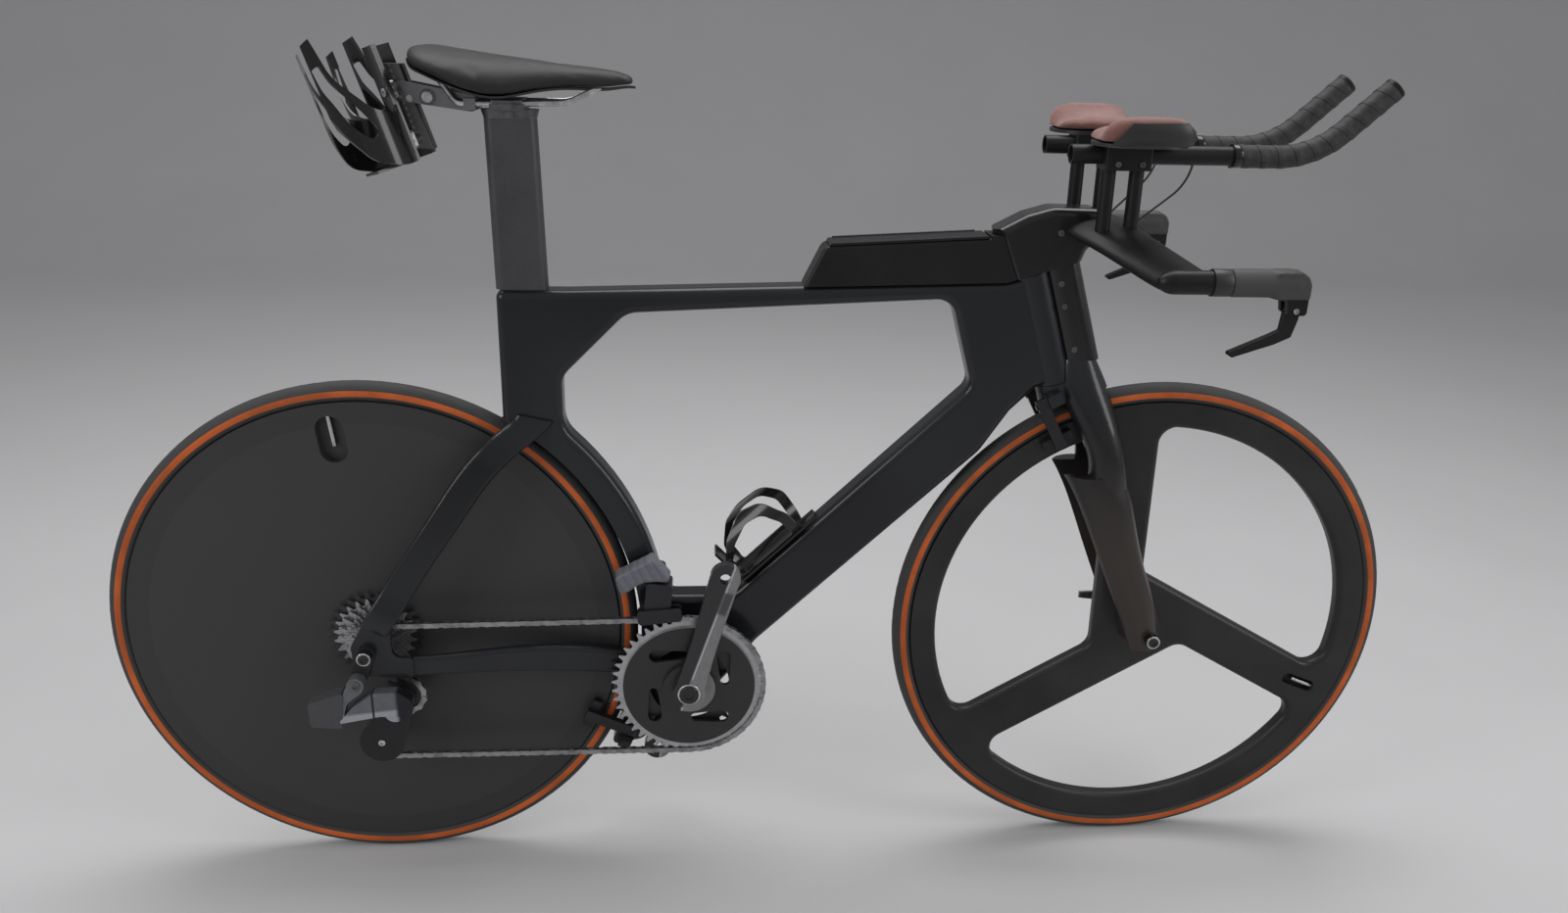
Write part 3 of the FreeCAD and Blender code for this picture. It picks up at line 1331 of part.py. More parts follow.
def cage_shell(profile, window):
    """A bottle cage about +Z with its back at +X: side profiles cut from a thin round wall."""
    outer = BOTTLE_R + CAGE_WALL
    wall = Part.makeCylinder(outer, CAGE_HEIGHT + 20).cut(Part.makeCylinder(BOTTLE_R, CAGE_HEIGHT + 20))
    side = prism([(V(x, 0, z), r) for x, z, r in profile], -outer, outer)
    hole = prism([(V(x, 0, z), r) for x, z, r in window], -outer, outer)
    arms = wall.common(side).cut(hole)
    gap = block(V(-2 * outer, -9, 0), V(0, 9, CAGE_HEIGHT + 20))
    arms = arms.cut(gap)
    spine = wall.common(block(V(0, -SPINE_HALF, 0), V(2 * outer, SPINE_HALF, CAGE_HEIGHT - 14)))
    boss = block(V(BOTTLE_R + 1, -SPINE_HALF, 0), V(outer + SPINE_T, SPINE_HALF, CAGE_HEIGHT - 14))
    foot = Part.makeCylinder(outer, 3).common(block(V(-14, -16, 0), V(outer + SPINE_T, 16, 3)))
    return join([arms, spine, boss, foot])


def make_rear_cage(side):
    top = CAGE_HEIGHT + CAGE_SKEW
    profile = [(44, 0, 2), (10, 0, 40), (-20, 12, 30), (-34, 44, 100), (-44, 96, 150), (-44, top, 2),
               (-34, top, 4), (-28, 104, 60), (-4, 66, 40), (20, 54, 20), (44, 66, 2)]
    window = [(-33, 122, 2), (-38, 119, 2), (-37, 96, 80), (-28, 54, 60), (-15, 35, 7), (-4, 41, 5),
              (-14, 66, 50), (-30, 100, 50)]
    cage = cage_shell(profile, window)
    skew = [V(-60, -50, top), V(-60, 50, CAGE_HEIGHT - CAGE_SKEW), V(-60, 50, 2 * top), V(-60, -50, 2 * top)]
    cage = cage.cut(Part.Face(Part.makePolygon(skew + skew[:1])).extrude(AHEAD * 120))
    cage.rotate(ORIGIN, UP, CAGE_TOE)
    cage.rotate(ORIGIN, ACROSS, -CAGE_LEAN)
    cage.translate(cage_foot(-1))
    return cage if side < 0 else mirrored(cage)


def cage_foot(side):
    return rear(SADDLE_REAR - 26, POST_TOP - 56, side * 50)


def cage_back(side, lift, out):
    """A point on the back of a rear cage, lift up its axis and out from its axis."""
    toe = math.radians(CAGE_TOE)
    lean = math.radians(CAGE_LEAN)
    back = V(math.cos(toe) * out, -side * math.sin(toe) * out, lift)
    turned_back = V(back.x * math.cos(lean) - back.z * math.sin(lean), back.y,
                    back.x * math.sin(lean) + back.z * math.cos(lean))
    return cage_foot(side) + turned_back


def cage_normal(side):
    return (cage_back(side, 0, 1) - cage_back(side, 0, 0)).normalize()


def cage_axis():
    return (cage_back(1, 1, 0) - cage_back(1, 0, 0)).normalize()


def make_cage_bracket():
    """A ribbed post behind the saddle, wings for the two cages and a fork of links to the rails."""
    out = BOTTLE_R + CAGE_WALL + SPINE_T
    up = cage_axis()
    spine_foot = cage_back(1, 12, out) + cage_back(-1, 12, out)
    spine_foot = V(spine_foot.x / 2 + 12, 0, spine_foot.z / 2)
    post = Part.Face(section(spine_foot, AHEAD, ACROSS, 10, SPINE_HALF, 0.4)).extrude(up * 96)
    pieces = [post]
    for side in SIDES:
        n = cage_normal(side)
        across = n.cross(up)
        for lift in CAGE_BOLTS:
            pad = Part.Face(section(cage_back(side, lift, out), across, up, SPINE_HALF, 10, 0.3))
            pieces.append(pad.extrude(n * 4))
            start = cage_back(side, lift, out + 2)
            stop = spine_foot + up * (lift - 10)
            pieces.append(rod(start, stop, 6))
    grip_h = POST_TOP + RAIL_LIFT
    for side in SIDES:
        link_y = sorted((side * SPINE_HALF, side * (SPINE_HALF + 4)))
        pieces.append(capsule(spine_foot + up * 66, 11, rear(SADDLE_REAR + 67, grip_h - 1), 9, *link_y))
    y = RAIL_Y + RAIL_R + 1.5
    pieces.append(block(rear(SADDLE_REAR + 61, grip_h - 7, -y), rear(SADDLE_REAR + 74, grip_h + 5, y)))
    body = join(pieces)
    for side in SIDES:
        body = body.cut(tube(rail_path(side), RAIL_R)).cut(make_rear_cage(side))
    return body


def tube_frame():
    """The foot point, the direction and the outward normal of the down tube's upper edge."""
    low = crank(*WINDOW_FOOT)
    high = head(-104, 27.6)
    way = (high - low).normalize()
    return low, way, V(-way.z, 0, way.x)


def make_tube_cage():
    """The bottle cage on the down tube: a banded loop round the bottle."""
    low, way, out = tube_frame()
    profile = [(44, 0, 5), (4, 0, 20), (-24, 30, 30), (-36, 62, 30), (-30, 96, 24), (0, 112, 24), (44, 108, 5)]
    window = [(30, 12, 4), (6, 12, 14), (-14, 34, 24), (-24, 62, 22), (-20, 86, 16), (2, 98, 16), (30, 96, 4)]
    cage = cage_shell(profile, window)
    angle = math.degrees(math.atan2(way.z, way.x))
    cage.rotate(ORIGIN, ACROSS, 90 - angle)
    cage.translate(low + way * 24 + out * (BOTTLE_R + CAGE_WALL + SPINE_T))
    return cage


def make_nodes():
    """Every node by name."""
    rear_axle = rear(0, 0)
    front_axle = front(0, 0)
    rear_face = REAR_SPAN / 2 + DROPOUT_T
    front_face = FRONT_SPAN / 2 + FORK_TIP_T
    cover, shell, rails = make_saddle()
    nodes = {
        "frame": make_frame(),
        "seatpost": make_seatpost(),
        "saddle_clamp": make_saddle_clamp(),
        "saddle_rails": rails,
        "saddle_cover": cover,
        "saddle_shell": shell,
        "storage_box": make_storage_box(),
        "storage_lid": make_storage_lid(),
        "frame_bearings": make_frame_bearings(),
        "rear_cage_bracket": make_cage_bracket(),
        "rear_cage_right": make_rear_cage(-1),
        "rear_cage_left": make_rear_cage(1),
        "down_tube_cage": make_tube_cage(),
        "derailleur_hanger": make_hanger(),
        "derailleur_body": make_derailleur_body(),
        "derailleur_cage": make_derailleur_cage(),
        "upper_pulley": make_pulley(UPPER_PULLEY),
        "lower_pulley": make_pulley(LOWER_PULLEY),
        "front_derailleur": make_front_derailleur(),
        "front_derailleur_wrap": make_tape_wrap(),
        "chain": make_chain(),
        "cassette": make_cassette(),
        "crank_arm_right": make_crank_arm(-1),
        "crank_arm_left": make_crank_arm(1),
        "large_chainring": make_large_ring(),
        "small_chainring": make_small_ring(),
        "rear_skewer": make_skewer(rear_axle, rear_face + HANGER_T, rear_face),
        "rear_qr_lever": make_qr_lever(rear_axle, rear_face, 1),
        "rear_disc": make_rear_disc(),
        "rear_tyre": make_tyre(rear_axle),
        "rear_bearings": bearing_pair(rear_axle, REAR_BEARINGS),
        "front_trispoke": make_trispoke(),
        "front_tyre": make_tyre(front_axle),
        "front_bearings": bearing_pair(front_axle, FRONT_BEARINGS),
        "fork": make_fork(),
        "steerer_column": make_column(),
        "base_bar": make_base_bar(),
        "front_skewer": make_skewer(front_axle, front_face, front_face),
        "front_qr_lever": make_qr_lever(front_axle, front_face, -1),
        "extensions": make_extensions(),
        "extension_tape": make_ext_tape(),
        "extension_clamps": make_clamps(),
        "pad_cups": make_pad_cups(),
    }
    nodes["rear_valve"] = make_valve(nodes["rear_disc"], rear_axle, REAR_VALVE_ANGLE, REAR_POCKET_R, 40)
    trispoke = nodes["front_trispoke"]
    nodes["front_valve"] = make_valve(trispoke, front_axle, FRONT_VALVE_ANGLE, FRONT_POCKET_R, 34)
    nodes["derailleur_battery"] = make_battery(nodes["derailleur_body"])
    nodes["stem"] = make_stem(nodes["base_bar"])
    nodes["bar_grips"] = make_grips(nodes["base_bar"])
    nodes["riser_posts"] = make_risers(nodes["base_bar"], nodes["stem"])
    nodes["shift_wires"] = make_wires(nodes["base_bar"])
    for side, word in zip(SIDES, ("right", "left")):
        nodes["rear_brake_arm_" + word] = brake_place(brake_arm(side), rear_axle, REAR_BRAKE_ANGLE)
        nodes["front_brake_arm_" + word] = brake_place(brake_arm(side), front_axle, FRONT_BRAKE_ANGLE)
        nodes["brake_lever_" + word] = make_lever(side)
        nodes["arm_pad_" + word] = make_arm_pad(side)
        nodes["shift_button_" + word] = make_button(side)
    return nodes


def main():
    os.makedirs("parts", exist_ok=True)
    for name, shape in make_nodes().items():
        shape.exportStep("parts/%s.step" % name)
        print(name, shape.isValid(), len(shape.Solids), round(shape.Volume))


main()
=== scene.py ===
"""Dresses the time trial bike: finishes, saddle, arm pads, wound tape, chain links and fasteners."""

import json
import math

import bpy
from bpy.props import FloatProperty, FloatVectorProperty, IntProperty, PointerProperty
from mathutils import Matrix, Vector


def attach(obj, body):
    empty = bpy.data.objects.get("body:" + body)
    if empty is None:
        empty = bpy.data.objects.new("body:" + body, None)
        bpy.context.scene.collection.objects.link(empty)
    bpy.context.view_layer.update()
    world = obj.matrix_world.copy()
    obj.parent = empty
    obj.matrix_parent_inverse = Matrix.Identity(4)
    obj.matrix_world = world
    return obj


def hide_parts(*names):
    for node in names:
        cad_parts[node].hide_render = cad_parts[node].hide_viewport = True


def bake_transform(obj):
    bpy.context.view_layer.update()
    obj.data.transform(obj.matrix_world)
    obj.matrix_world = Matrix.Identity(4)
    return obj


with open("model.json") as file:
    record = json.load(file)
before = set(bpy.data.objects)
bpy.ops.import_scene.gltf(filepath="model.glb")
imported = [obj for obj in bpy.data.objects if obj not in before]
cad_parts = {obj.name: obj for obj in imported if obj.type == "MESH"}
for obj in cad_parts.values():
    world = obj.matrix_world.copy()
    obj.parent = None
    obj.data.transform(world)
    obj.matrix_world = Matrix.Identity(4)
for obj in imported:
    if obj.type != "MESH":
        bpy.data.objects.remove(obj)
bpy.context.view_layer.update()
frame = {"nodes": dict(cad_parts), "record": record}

bl_info = {
    "name": "Time Trial Bike",
    "version": (1, 0, 0),
    "blender": (4, 5, 0),
    "location": "View3D > Sidebar > Bike",
    "description": "Finishes, soft pieces, tape, chain and fasteners of a time trial bike",
    "category": "Object",
}

# Places on the bike, in metres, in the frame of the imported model
REAR_AXLE = Vector((-0.5045, 0, 0.335))
FRONT_AXLE = Vector((0.5045, 0, 0.335))
CRANK_AXIS = Vector((-0.1025, 0, 0.270))
BAR_FOOT = Vector((0.3144, 0, 0.8098))
ACROSS = Vector((0, 1, 0))
SIDES = {"right": -1, "left": 1}
CRANK_ANGLE = 74.4
CAGE_LEAN = 18.0
CAGE_TOE = 40.0
WRAP_LEAN = 28.0


def rear(x, h, y=0.0):
    """A point x ahead of the rear axle, h above it and y across, given in millimetres."""
    return REAR_AXLE + Vector((x, y, h)) / 1000


def bar(x, h, y=0.0):
    """A point x ahead of the head tube's top and h above it, given in millimetres."""
    return BAR_FOOT + Vector((x, y, h)) / 1000


WRAP_PLACE = rear(345, 92)
BRACKET_PLACE = rear(80, 650)
LINK_PLACE = rear(0, -76)


class Val:
    """A shader socket that takes part in Python arithmetic; each operation adds its Math node."""

    def __init__(self, shader, socket):
        self.shader = shader
        self.socket = socket

    def maths(self, operation, first, second=0.0):
        return self.shader.node("ShaderNodeMath", {"operation": operation}, {0: first, 1: second})

    def __add__(self, other):
        return self.maths("ADD", self, other)

    def __sub__(self, other):
        return self.maths("SUBTRACT", self, other)

    def __rsub__(self, other):
        return self.maths("SUBTRACT", other, self)

    def __mul__(self, other):
        return self.maths("MULTIPLY", self, other)

    def __truediv__(self, other):
        return self.maths("DIVIDE", self, other)

    def __pow__(self, other):
        return self.maths("POWER", self, other)

    __radd__ = __add__
    __rmul__ = __mul__

    def sin(self):
        return self.maths("SINE", self)

    def fract(self):
        return self.maths("FRACT", self)

    def abs(self):
        return self.maths("ABSOLUTE", self)

    def high(self, other):
        return self.maths("MAXIMUM", self, other)

    def step(self, start, end):
        """0 below start and 1 above end, smooth between them."""
        return self.shader.node(
            "ShaderNodeMapRange",
            {"interpolation_type": "SMOOTHSTEP"},
            {"Value": self, "From Min": start, "From Max": end},
        )


class Finish:
    """A procedural material on one Principled BSDF."""

    def __init__(self, name):
        self.material = bpy.data.materials.new(name)
        self.material.use_nodes = True
        self.tree = self.material.node_tree
        self.bsdf = self.tree.nodes["Principled BSDF"]
        self.place = self.node("ShaderNodeTexCoord", out="Object")

    def node(self, kind, settings=None, inputs=None, out=0):
        made = self.tree.nodes.new(kind)
        for key, value in (settings or {}).items():
            setattr(made, key, value)
        for key, value in (inputs or {}).items():
            self.feed(made.inputs[key], value)
        return Val(self, made.outputs[out])

    def feed(self, socket, value):
        if isinstance(value, Val):
            self.tree.links.new(value.socket, socket)
        elif socket.type == "RGBA" and len(value) == 3:
            socket.default_value = (*value, 1.0)
        else:
            socket.default_value = value

    def set(self, **sockets):
        for key, value in sockets.items():
            self.feed(self.bsdf.inputs[key.replace("_", " ").title().replace("Ior", "IOR")], value)
        return self.material

    def axes(self, centre=(0, 0, 0), turn=(0, 0, 0)):
        """The three coordinates of a point, measured from a centre."""
        moved = self.node(
            "ShaderNodeMapping",
            {"vector_type": "TEXTURE"},
            {"Vector": self.place, "Location": centre, "Rotation": turn},
        )
        split = self.node("ShaderNodeSeparateXYZ", inputs={0: moved})
        return [Val(self, s) for s in split.socket.node.outputs]

    def radius(self, centre):
        """The distance from a wheel's axle in the side view."""
        x, _, z = self.axes(centre)
        return (x * x + z * z) ** 0.5

    def noise(self, scale, detail=3.0, rough=0.55, stretch=(1, 1, 1)):
        vector = self.place
        if stretch != (1, 1, 1):
            vector = self.node("ShaderNodeMapping", None, {"Vector": vector, "Scale": stretch})
        return self.node(
            "ShaderNodeTexNoise",
            None,
            {"Vector": vector, "Scale": scale, "Detail": detail, "Roughness": rough},
        )

    def cells(self, scale, feature="F1"):
        return self.node("ShaderNodeTexVoronoi", {"feature": feature}, {"Vector": self.place, "Scale": scale})

    def mix(self, factor, first, second):
        return self.node("ShaderNodeMix", {"data_type": "RGBA"}, {0: factor, 6: first, 7: second}, out=2)

    def bump(self, height, depth, strength=1.0):
        return self.node("ShaderNodeBump", None, {"Strength": strength, "Distance": depth, "Height": height})

    def weave(self, pitch, across=(0, 2)):
        """A plain weave of two thread directions, from 0 between threads to 1 on top of one."""
        axes = self.axes()
        turn = 2 * math.pi / pitch
        return (axes[across[0]] * turn).sin() * (axes[across[1]] * turn).sin() * 0.5 + 0.5


def scaled(colour, share):
    return tuple(c * share for c in colour)


def moulded(name, colour, spread, rough, grain, depth, **fixed):
    """A moulded, painted or bare surface: cloudy tone, fine grain, and gloss that varies with both."""
    finish = Finish(name)
    broad = finish.noise(7.0, 3.0)
    fine = finish.noise(grain, 3.0, 0.6)
    tone = broad * 0.65 + fine * 0.35
    return finish.set(
        base_color=finish.mix(tone.step(0.3, 0.7), scaled(colour, 1 - spread), scaled(colour, 1 + spread)),
        roughness=tone * 0.24 + (rough - 0.12),
        normal=finish.bump(fine, depth),
        **fixed,
    )


def frame_paint(name, colour):
    """Deep gloss clear coat over carbon: broad tonal fields, a faint weave and a soft bronze fade."""
    finish = Finish(name)
    x, _, z = finish.axes()
    field = finish.noise(3.2, 1.0, 0.4)
    facet = finish.cells(4.5)
    weave = finish.weave(0.0024)
    flake = finish.noise(900.0, 1.0)
    tone = field.step(0.42, 0.58) * 0.55 + facet.step(0.25, 0.6) * 0.25 + weave * 0.12 + flake * 0.08
    paint = finish.mix(tone, scaled(colour, 0.55), scaled(colour, 1.35))
    low_fork = (1 - z.step(0.42, 0.66)) * x.step(0.36, 0.42)
    bronze = finish.mix(low_fork * 0.55, paint, (0.055, 0.042, 0.034))
    return finish.set(
        base_color=bronze,
        roughness=flake * 0.1 + 0.3,
        normal=finish.bump(finish.noise(160.0, 2.0), 0.00004),
        coat_weight=0.35,
        coat_roughness=0.1,
        specular_ior_level=0.2,
    )


def tyre_rubber(name, axle, tread, sidewall):
    """Dark tread with a burnt orange band along the lower sidewall, and fine cord lines."""
    finish = Finish(name)
    radius = finish.radius(axle)
    band = radius.step(0.3172, 0.3182) * (1 - radius.step(0.3248, 0.3258))
    dust = finish.noise(60.0, 5.0, 0.65)
    cords = (radius * 5200.0).sin() * 0.5 + 0.5
    worn = finish.noise(16.0, 3.0)
    black = finish.mix(dust, scaled(tread, 0.7), scaled(tread, 1.35))
    orange = finish.mix(worn.step(0.35, 0.7), scaled(sidewall, 0.72), scaled(sidewall, 1.08))
    return finish.set(
        base_color=finish.mix(band, black, orange),
        roughness=dust * 0.2 + 0.58,
        normal=finish.bump(cords * 0.4 + dust, 0.00012),
        specular_ior_level=0.35,
    )


def disc_skin(name, colour):
    """Matte disc skin: faint rings from the mould, cloudy tone and a slightly lighter brake track."""
    finish = Finish(name)
    radius = finish.radius(REAR_AXLE)
    cloud = finish.noise(5.0, 4.0, 0.6)
    fine = finish.noise(700.0, 2.0)
    rings = (radius * 1900.0).sin() * 0.5 + 0.5
    track = radius.step(0.2835, 0.2845)
    tone = cloud * 0.55 + fine * 0.3 + rings * 0.15
    skin = finish.mix(tone, scaled(colour, 0.72), scaled(colour, 1.28))
    return finish.set(
        base_color=finish.mix(track * 0.45, skin, scaled(colour, 0.62)),
        roughness=tone * 0.2 + 0.42,
        normal=finish.bump(fine * 0.6 + rings * 0.4, 0.00005),
        specular_ior_level=0.45,
    )


def chainring_finish(name, face, rim):
    """A black anodised face inside a bare, machined toothed rim."""
    finish = Finish(name)
    radius = finish.radius(CRANK_AXIS)
    bare = radius.step(0.0855, 0.0863)
    lathe = (radius * 9000.0).sin() * 0.5 + 0.5
    wear = finish.noise(90.0, 4.0, 0.65)
    metal = finish.mix(wear, scaled(rim, 0.55), scaled(rim, 1.2))
    black = finish.mix(wear, scaled(face, 0.7), scaled(face, 1.4))
    return finish.set(
        base_color=finish.mix(bare, black, metal),
        metallic=bare * 0.9,
        roughness=wear * 0.18 + 0.26,
        normal=finish.bump(lathe, 0.00002),
    )


def crank_finish(name, shade, light):
    """A crank of two facets: a dark one behind and a light one ahead, with a painted highlight line between
    them.
    """
    finish = Finish(name)
    x, y, z = finish.axes(CRANK_AXIS, (0, -math.radians(CRANK_ANGLE), 0))
    along = x.abs()
    wear = finish.noise(120.0, 4.0, 0.6)
    ridge = z + (along - 0.085) * 0.055 + (wear - 0.5) * 0.001
    facet = ridge.step(-0.0012, 0.0008)
    # A painted highlight: a thin band along the ridge between the facets, much brighter than the light facet.
    line = ridge.step(-0.0034, -0.0022) * (1 - ridge.step(-0.0014, -0.0004))
    span = along.step(0.118, 0.124) * (1 - along.step(0.150, 0.156))
    pocket = span * ridge.step(-0.0125, -0.0115) * (1 - facet)
    front = finish.mix(wear, scaled(light, 0.75), scaled(light, 1.2))
    back = finish.mix(wear, scaled(shade, 0.8), scaled(shade, 1.3))
    body = finish.mix(facet.high(1 - y.abs().step(0.0572, 0.0578)), front, back)
    # The painted highlight is laid over the crank's colour here.
    with_painted_highlight = finish.mix(line * along.step(0.018, 0.026) * 0.85, body, scaled(light, 2.4))
    return finish.set(
        base_color=finish.mix(pocket * 0.8, with_painted_highlight, shade),
        metallic=0.35,
        roughness=wear * 0.2 + 0.28,
        normal=finish.bump(wear * 0.2 - pocket, 0.0004),
    )


def bracket_finish(name, plastic, alloy):
    """A ribbed black mount with bare alloy link plates on its flanks."""
    finish = Finish(name)
    x, y, z = finish.axes(BRACKET_PLACE, (0, -math.radians(CAGE_LEAN), 0))
    ribs = ((z * 900.0).sin() * 0.5 + 0.5) * (1 - x.step(0.008, 0.012))
    wear = finish.noise(90.0, 4.0, 0.6)
    plate = y.abs().step(0.0106, 0.0112) * x.step(0.004, 0.008)
    metal = finish.mix(wear, scaled(alloy, 0.7), scaled(alloy, 1.3))
    black = finish.mix(wear, scaled(plastic, 0.7), scaled(plastic, 1.6))
    return finish.set(
        base_color=finish.mix(plate, black, metal),
        metallic=plate * 0.85,
        roughness=wear * 0.2 + 0.28,
        normal=finish.bump(ribs + wear * 0.1, 0.0006),
    )


def mech_finish(name, shade, light):
    """A derailleur's outer link: grey with a dark seam and end, and a painted highlight along its lower edge.
    """
    finish = Finish(name)
    x, _, z = finish.axes(LINK_PLACE)
    wear = finish.noise(110.0, 4.0, 0.6)
    seam = x.step(0.0065, 0.0072) * (1 - x.step(0.0092, 0.0099))
    dark = seam.high(x.step(0.034, 0.040))
    # A painted highlight: a bright band along the link's lower edge.
    painted_highlight_edge = 1 - (z - x * 0.12 + wear * 0.002).step(0.0035, 0.0085)
    grey = finish.mix(wear, scaled(light, 0.7), scaled(light, 1.3))
    grey_with_painted_highlight = finish.mix(painted_highlight_edge, grey, scaled(light, 2.6))
    return finish.set(
        base_color=finish.mix(dark, grey_with_painted_highlight, shade),
        metallic=0.55,
        roughness=wear * 0.18 + 0.28,
        normal=finish.bump(wear, 0.00005),
    )


def cassette_finish(name, shade, light):
    """Bare sprockets in front of the largest one, which is black."""
    finish = Finish(name)
    _, y, _ = finish.axes()
    bare = 1 - y.step(-0.0213, -0.0207)
    wear = finish.noise(120.0, 4.0, 0.65)
    return finish.set(
        base_color=finish.mix(bare, shade, finish.mix(wear, scaled(light, 0.45), scaled(light, 1.2))),
        metallic=bare * 0.9,
        roughness=wear * 0.2 + 0.28,
        normal=finish.bump(wear, 0.00004),
    )


def tape_cloth(name, colour):
    """Thin wound grip tape: embossed diamonds, scuffed along the turns."""
    finish = Finish(name)
    diamonds = finish.weave(0.0042, (0, 2))
    scuff = finish.noise(140.0, 4.0, 0.65)
    return finish.set(
        base_color=finish.mix(scuff.step(0.35, 0.75), scaled(colour, 0.75), scaled(colour, 1.7)),
        roughness=scuff * 0.25 + 0.5,
        normal=finish.bump(diamonds * 0.5 + scuff * 0.5, 0.00018),
        specular_ior_level=0.4,
    )


def pad_leather(name, colour):
    """Soft suede-like pad cover: fine nap, mottled tone and rubbed lighter patches."""
    finish = Finish(name)
    mottled = finish.noise(38.0, 4.0, 0.6)
    nap = finish.noise(1500.0, 2.0)
    creases = finish.cells(260.0, "DISTANCE_TO_EDGE")
    tone = mottled.step(0.3, 0.7) * 0.7 + nap * 0.3
    return finish.set(
        base_color=finish.mix(tone, scaled(colour, 0.72), scaled(colour, 1.15)),
        roughness=nap * 0.15 + 0.62,
        normal=finish.bump(creases.step(0.0, 0.12) * 0.6 + nap * 0.4, 0.0003),
        sheen_weight=0.25,
        sheen_roughness=0.5,
        specular_ior_level=0.3,
    )


def saddle_skin(name, colour):
    """Fine-grained black saddle cover with a satin shine."""
    finish = Finish(name)
    grain = finish.cells(900.0, "DISTANCE_TO_EDGE")
    cloud = finish.noise(20.0, 3.0)
    return finish.set(
        base_color=finish.mix(cloud, scaled(colour, 0.75), scaled(colour, 1.4)),
        roughness=cloud * 0.16 + 0.3,
        normal=finish.bump(grain.step(0.0, 0.2), 0.00012),
        specular_ior_level=0.36,
    )


def wrap_foil(name, colour):
    """Grey cloth tape, creased, with the edges of its turns."""
    finish = Finish(name)
    x, _, _ = finish.axes(WRAP_PLACE, (0, -math.radians(WRAP_LEAN), 0))
    layers = (x * 95.0 + finish.noise(60.0, 2.0) * 0.25).fract()
    crease = finish.noise(130.0, 5.0, 0.7)
    threads = finish.weave(0.0011)
    tone = layers * 0.35 + crease * 0.65
    return finish.set(
        base_color=finish.mix(tone, scaled(colour, 0.55), scaled(colour, 1.5)),
        roughness=crease * 0.3 + 0.38,
        normal=finish.bump(crease * 0.6 + layers.step(0.0, 0.08) * 0.3 + threads * 0.1, 0.0008),
    )


def steel(name, colour, rough, grain=(1, 1, 1), metallic=1.0):
    """Bare metal with brushed or rolled grain and darker, duller soiling."""
    finish = Finish(name)
    brushed = finish.noise(420.0, 2.0, 0.5, grain)
    soil = finish.noise(70.0, 4.0, 0.6)
    return finish.set(
        base_color=finish.mix(soil.step(0.35, 0.75), colour, scaled(colour, 0.5)),
        metallic=metallic,
        roughness=brushed * 0.16 + soil * 0.16 + (rough - 0.16),
        normal=finish.bump(brushed, 0.00002),
    )


def floor_finish(name, colour):
    """A smooth studio floor with a faint cloudy tone."""
    finish = Finish(name)
    cloud = finish.noise(1.6, 5.0, 0.6)
    return finish.set(
        base_color=finish.mix(cloud, scaled(colour, 0.94), scaled(colour, 1.04)),
        roughness=cloud * 0.1 + 0.55,
        specular_ior_level=0.25,
    )


def colour_property(name, text, default):
    return FloatVectorProperty(name=name, description=text, subtype="COLOR", default=default, min=0, max=1)


def length_property(name, text, default, low, high):
    return FloatProperty(name=name, description=text, unit="LENGTH", default=default, min=low, max=high)


class BikeColours(bpy.types.PropertyGroup):
    """Colours that a user would change."""

    frame: colour_property("Frame", "Paint of the frame and fork", (0.0110, 0.0118, 0.0138))
    disc: colour_property("Disc", "Skin of the rear disc wheel", (0.030, 0.030, 0.031))
    tread: colour_property("Tread", "Rubber of the tyres", (0.040, 0.039, 0.039))
    sidewall: colour_property("Sidewall", "Band on the tyres", (0.52, 0.105, 0.018))
    pads: colour_property("Arm pads", "Cover of the arm pads", (0.190, 0.083, 0.068))


class BikeSizes(bpy.types.PropertyGroup):
    """Sizes that a user would change."""

    tape_pitch: length_property("Tape pitch", "Advance of the grip tape for each turn", 0.0205, 0.01, 0.04)
    swell: length_property("Swell", "How far a pad may swell from its cut shape", 0.004, 0.0, 0.016)
    chain_links: IntProperty(
        name="Chain links", description="Links in the chain, 0 for as many as fit", default=0, min=0, max=140
    )


def slots_to_nodes():
    """The nodes of each material slot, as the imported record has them."""
    found = {}
    for row in frame["record"]["subparts"]:
        found.setdefault(row["material_slot"], []).append(row["node"])
    return found


def cover_node(node, material):
    """Gives a CAD node's mesh one material in place of its own."""
    mesh = frame["nodes"][node].data
    mesh.materials.clear()
    mesh.materials.append(material)


